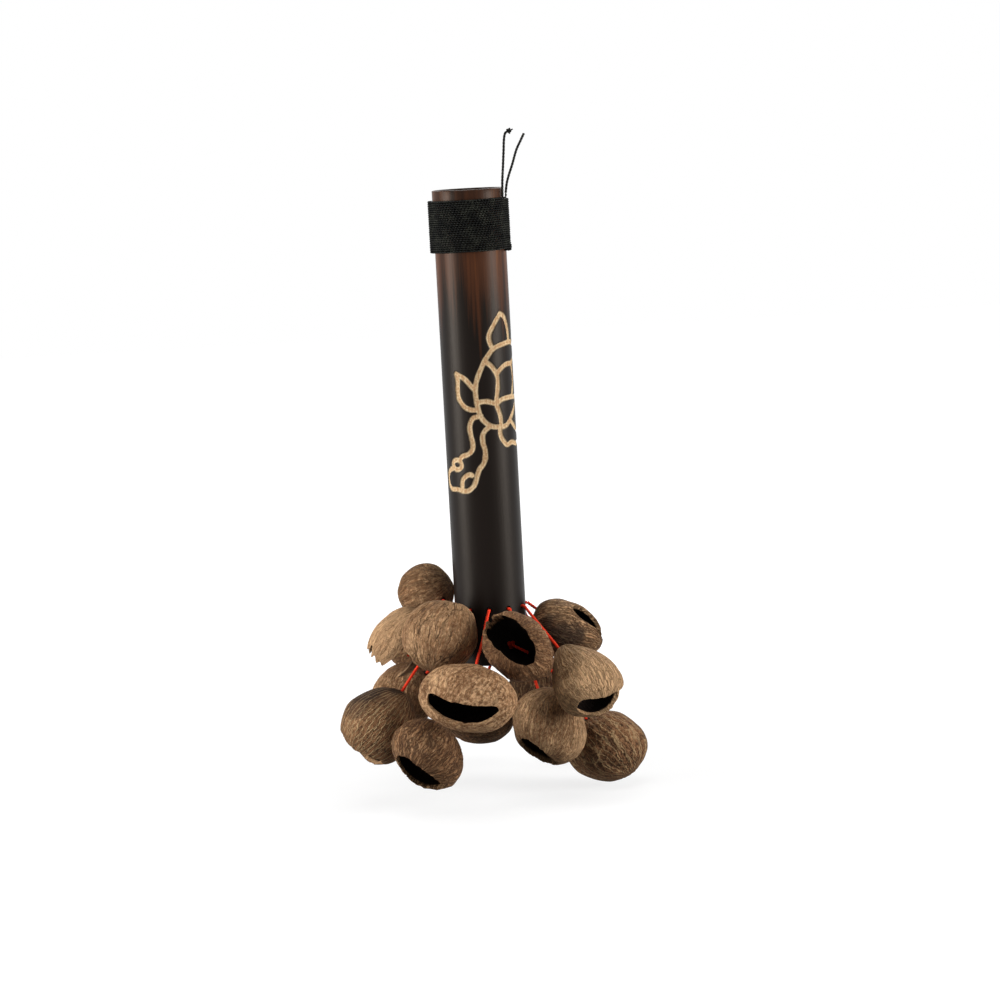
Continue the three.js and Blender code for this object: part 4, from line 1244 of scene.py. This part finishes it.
class SHAKER_OT_nut_shells(bpy.types.Operator):
    """Make the hollow nut shells with their wrinkled skin and ragged mouths"""
    bl_idname = "shaker.nut_shells"
    bl_label = "Nut shells"

    HALVINGS = 26
    BLUNT = 2.4
    # Waves round a mouth's edge, and their heights as shares of the mouth
    RAG_WAVES = ((range(2, 5), 0.045), (range(5, 11), 0.017), (range(11, 22), 0.006))
    RAG_LIMITS = (0.78, 1.14)
    LIP_SLOPE = 0.97
    POLE_STEP = 0.4
    # How deep a point counts as, from 0 outside to 1 inside: on the lip, at the inner edge, and the lip's end
    LIP_DEPTH = 0.5
    EDGE_DEPTH = 0.75
    LIP_END = 0.8
    FIBRE_ACROSS = (0.31, 0.95, 0.05)
    FIBRE_CORE = 0.3
    # Wavelengths and heights of the lumps, in millimetres
    LUMPS = ((17.0, 0.45), (8.0, 0.16))
    FOLD_WAVE = 5.2
    FOLD_HEIGHT = 0.16
    RIB_HEIGHT = 0.44
    SINK = 0.35
    RELIEF = (-1.2, 0.2)
    FRAY_WAVE = 2.4
    FRAY_WAY = (0.036, 0.036, 0.12)
    TONE_WAVE = 22.0
    TONE_SPREAD = 0.12
    LIP_TONE = 0.6
    LIP_SPREAD = 0.3
    ENTRY_R = 2.1
    ENTRY_BLUR = 0.8
    SOOT_WAVE = 9.0
    SOOT_UNEVEN = 0.14
    SOOT_FROM = 0.66
    SOOT_BLUR = 0.26
    # The way each darkened side faces: painted shade on the underside of nut 2, a darker front on nut 5, a
    # blackened top on nut 7
    SOOT_WAYS = {2: (0.55, -0.75, -0.35), 5: (-0.1, -0.99, -0.1), 7: (-0.35, -0.15, 0.92)}
    # From one nut to the next, so that no two are alike
    SEED_STEP = 17
    FIBRE_STEP = 23.0

    @staticmethod
    def egg(nut, halves, back_angle, round_angle):
        """Points of an egg, by angles about the line from its back to the middle of its mouth."""
        back = Vector((-2 * nut.aside / nut.wide, -2 * (nut.over + nut.bend) / nut.deep, 1.0))
        tilt = np.array(Vector((0, 0, 1)).rotation_difference(back).to_matrix())
        ring = np.sin(back_angle)
        ways = np.stack((ring * np.cos(round_angle), ring * np.sin(round_angle),
                         np.broadcast_to(np.cos(back_angle), ring.shape)), -1) @ tilt.T
        girth = 1 - nut.taper * ways[..., 2]
        return ways * halves * np.stack((girth, girth, np.ones_like(girth)), -1)

    def mouth_angles(self, nut, halves, round_angle, ragged):
        """The angle from the back at which a form meets the ragged edge of the mouth."""
        low = np.full_like(round_angle, np.pi / 2)
        high = np.full_like(round_angle, np.pi)
        for _ in range(self.HALVINGS):
            middle = (low + high) / 2
            point = self.egg(nut, halves, middle, round_angle)
            along = point[:, 0] - nut.aside
            sag = nut.bend * (1 - np.minimum((2 * along / nut.long) ** 2, 1))
            across = point[:, 1] - nut.over - sag
            share = np.abs(along / nut.long) ** self.BLUNT + np.abs(across / nut.short) ** self.BLUNT
            inside = share ** (1 / self.BLUNT) < 0.5 * ragged
            high = np.where(inside, middle, high)
            low = np.where(inside, low, middle)
        return low

    def ragged(self, nut, number, round_angle):
        """How far out the mouth's edge lies at each angle, as a share of the even mouth."""
        numbers = np.random.default_rng(NUT_SEED * 100 + number)
        edge = np.ones_like(round_angle)
        for waves, size in self.RAG_WAVES:
            for wave in waves:
                height = size * nut.rag * numbers.normal()
                edge += height * np.cos(wave * round_angle + numbers.uniform(0, 2 * np.pi))
        return np.clip(edge, *self.RAG_LIMITS)

    def form(self, nut, number):
        """Rings of the shell in its own axes, and 0 outside to 1 inside for each ring."""
        around = np.arange(NUT_SIDES) * 2 * np.pi / NUT_SIDES
        halves = np.array((nut.wide, nut.deep, nut.tall)) / 2
        inner_halves = halves - NUT_WALL
        ragged = self.ragged(nut, number, around)
        outer_angle = self.mouth_angles(nut, halves, around, ragged)
        inner_angle = self.mouth_angles(nut, inner_halves, around, ragged * self.LIP_SLOPE)
        rings = []
        depths = []
        for row in range(NUT_OUTER_ROWS):
            share = (row + self.POLE_STEP) / (NUT_OUTER_ROWS - 1 + self.POLE_STEP)
            rings.append(self.egg(nut, halves, outer_angle * share, around))
            depths.append(0.0)
        outer_edge = rings[-1]
        inner_edge = self.egg(nut, inner_halves, inner_angle, around)
        for row in range(1, NUT_LIP_ROWS + 1):
            share = row / (NUT_LIP_ROWS + 1)
            rings.append(outer_edge * (1 - share) + inner_edge * share)
            depths.append(share * self.LIP_DEPTH)
        for row in range(NUT_INNER_ROWS):
            share = 1 - row / (NUT_INNER_ROWS - 1 + self.POLE_STEP)
            rings.append(self.egg(nut, inner_halves, inner_angle * share, around))
            depths.append(1.0 if row else self.EDGE_DEPTH)
        return np.array(rings), np.array(depths)

    def fibres(self, nut, number, points, axes):
        """Coordinates in which a shell's fibres are long: round their axis, and shortened along it."""
        way = np.array((0.0, 0.0, 1.0))
        if number in FIBRE_WAYS:
            way = unit(np.array(FIBRE_WAYS[number]) @ axes)
        side = unit(np.cross(way, self.FIBRE_ACROSS))
        across = np.column_stack((points @ side, points @ np.cross(way, side)))
        radius = np.linalg.norm(across, axis=1)
        girth = (nut.wide + nut.deep) / 4
        spread = across * (girth / np.maximum(radius, self.FIBRE_CORE * girth))[:, None]
        return np.column_stack((spread, points @ way * FIBRE_STRETCH)) * nut.fine

    def relief(self, nut, points, fibre, depth, seed):
        """How far each point stands out from the plain form: lumps, and folds along the fibres."""
        lumps = sum(ripples(points, wave, seed + place) * height
                    for place, (wave, height) in enumerate(self.LUMPS))
        folds = 0.5 - np.abs(ripples(fibre, self.FOLD_WAVE, seed + 2))
        folds = folds * (self.FOLD_HEIGHT + self.RIB_HEIGHT * nut.rib)
        return np.clip(lumps - self.SINK + folds, *self.RELIEF) * np.clip(1 - depth, 0, 1)

    def soot_and_painted_shade(self, number, points, facing, seed):
        """Where a shell is darkened on the side that faces its way, 0 to 1: a blackened top on nut 7, a
        darker front on nut 5, and painted shade on the underside of nut 2.
        """
        if number not in self.SOOT_WAYS:
            return np.zeros(len(points))
        share = facing @ np.array(self.SOOT_WAYS[number])
        share = share + ripples(points, self.SOOT_WAVE, seed + 5) * self.SOOT_UNEVEN
        return np.clip((share - self.SOOT_FROM) / self.SOOT_BLUR, 0, 1)

    def execute(self, context):
        finish = finish_of("weathered nut shell", nut_finish, settings_of(context).nuts)
        for number, nut in enumerate(NUTS, 1):
            name = f"nut_{number:02d}_skin"
            axes = nut_axes(nut)
            pivot, centre, way, distance = cord_line(nut, number)
            rings, depths = self.form(nut, number)
            points = rings.reshape(-1, 3)
            depth = np.repeat(depths, NUT_SIDES)
            lip = (depth > 0) & (depth < self.LIP_END)
            normals = unit(points / (np.array((nut.wide, nut.deep, nut.tall)) / 2) ** 2)
            fibre = self.fibres(nut, number, points, axes)
            seed = NUT_SEED + number * self.SEED_STEP
            relief = self.relief(nut, points, fibre, depth, seed)
            fray = np.where(lip, ripples(points, self.FRAY_WAVE, seed + 3), 0)
            points = points + normals * relief[:, None] + fray[:, None] * np.array(self.FRAY_WAY)
            placed = points @ axes.T + centre
            mesh = grid_mesh(name, (placed * MM).reshape(rings.shape), False)

            # Painted shade: near black inside and round the cord's entry; pale at the lip
            tone = nut.tone + ripples(points, self.TONE_WAVE, seed + 4) * self.TONE_SPREAD
            tone = np.clip(np.where(lip, tone * self.LIP_SPREAD + self.LIP_TONE, tone), 0, 1)
            run = (placed - pivot) @ way
            off_cord = np.linalg.norm(np.cross(placed - pivot, way), axis=1)
            entry = np.clip((self.ENTRY_R - off_cord) / self.ENTRY_BLUR, 0, 1) * (run < distance)
            hollow = np.maximum(np.clip(depth * 2 - 0.9, 0, 1), entry)
            soot_and_painted_shade = self.soot_and_painted_shade(number, points, normals @ axes.T, seed)
            strands = 2 * round(STRANDS * nut.fine / 2)
            shares = np.ones(len(points))
            look = np.column_stack((shares * nut.vein, shares * nut.crack, tone, hollow))
            skin = np.column_stack((shares * nut.rib, shares * nut.grit, soot_and_painted_shade, shares * strands))
            fibre = fibre + np.array((0.0, 0.0, number * self.FIBRE_STEP))
            for title, kind, values in (("fibre", "FLOAT_VECTOR", fibre), ("look", "FLOAT_COLOR", look),
                                        ("skin", "FLOAT_COLOR", skin)):
                set_attribute(mesh, title, kind, np.vstack((values, values[0], values[-1])))
            made = add_object(name, mesh)
            dress(made, finish, f"nut_{number:02d}", "nut_shell", f"nut_shell_{number:02d}")
        return {"FINISHED"}


class SHAKER_PT_panel(bpy.types.Panel):
    """The shaker's operators and their sizes and colours"""
    bl_idname = "SHAKER_PT_panel"
    bl_label = "Nut shaker"
    bl_space_type = "VIEW_3D"
    bl_region_type = "UI"
    bl_category = "Shaker"

    def draw(self, context):
        for operator in OPERATORS:
            self.layout.operator(operator.bl_idname)
        settings = settings_of(context)
        for group in (settings.tube, settings.cords, settings.nuts, settings.stage):
            box = self.layout.box()
            for name in group.__annotations__:
                box.prop(group, name)


OPERATORS = (SHAKER_OT_stage, SHAKER_OT_loose_ends, SHAKER_OT_tube, SHAKER_OT_whipping, SHAKER_OT_tube_knots,
             SHAKER_OT_nut_cords, SHAKER_OT_nut_shells)
CLASSES = (ShakerTubeSettings, ShakerCordSettings, ShakerNutSettings, ShakerStageSettings, ShakerSettings,
           *OPERATORS, SHAKER_PT_panel)


def register():
    for entry in CLASSES:
        bpy.utils.register_class(entry)
    bpy.types.Scene.shaker = bpy.props.PointerProperty(type=ShakerSettings, name="Shaker",
                                                       description="Sizes and colours of the shaker")


def unregister():
    del bpy.types.Scene.shaker
    for entry in reversed(CLASSES):
        bpy.utils.unregister_class(entry)


def main():
    register()
    bpy.ops.shaker.stage()
    bpy.ops.shaker.loose_ends()
    bpy.ops.shaker.tube()
    bpy.ops.shaker.whipping()
    bpy.ops.shaker.tube_knots()
    bpy.ops.shaker.nut_cords()
    bpy.ops.shaker.nut_shells()


if __name__ == "__main__":
    main()
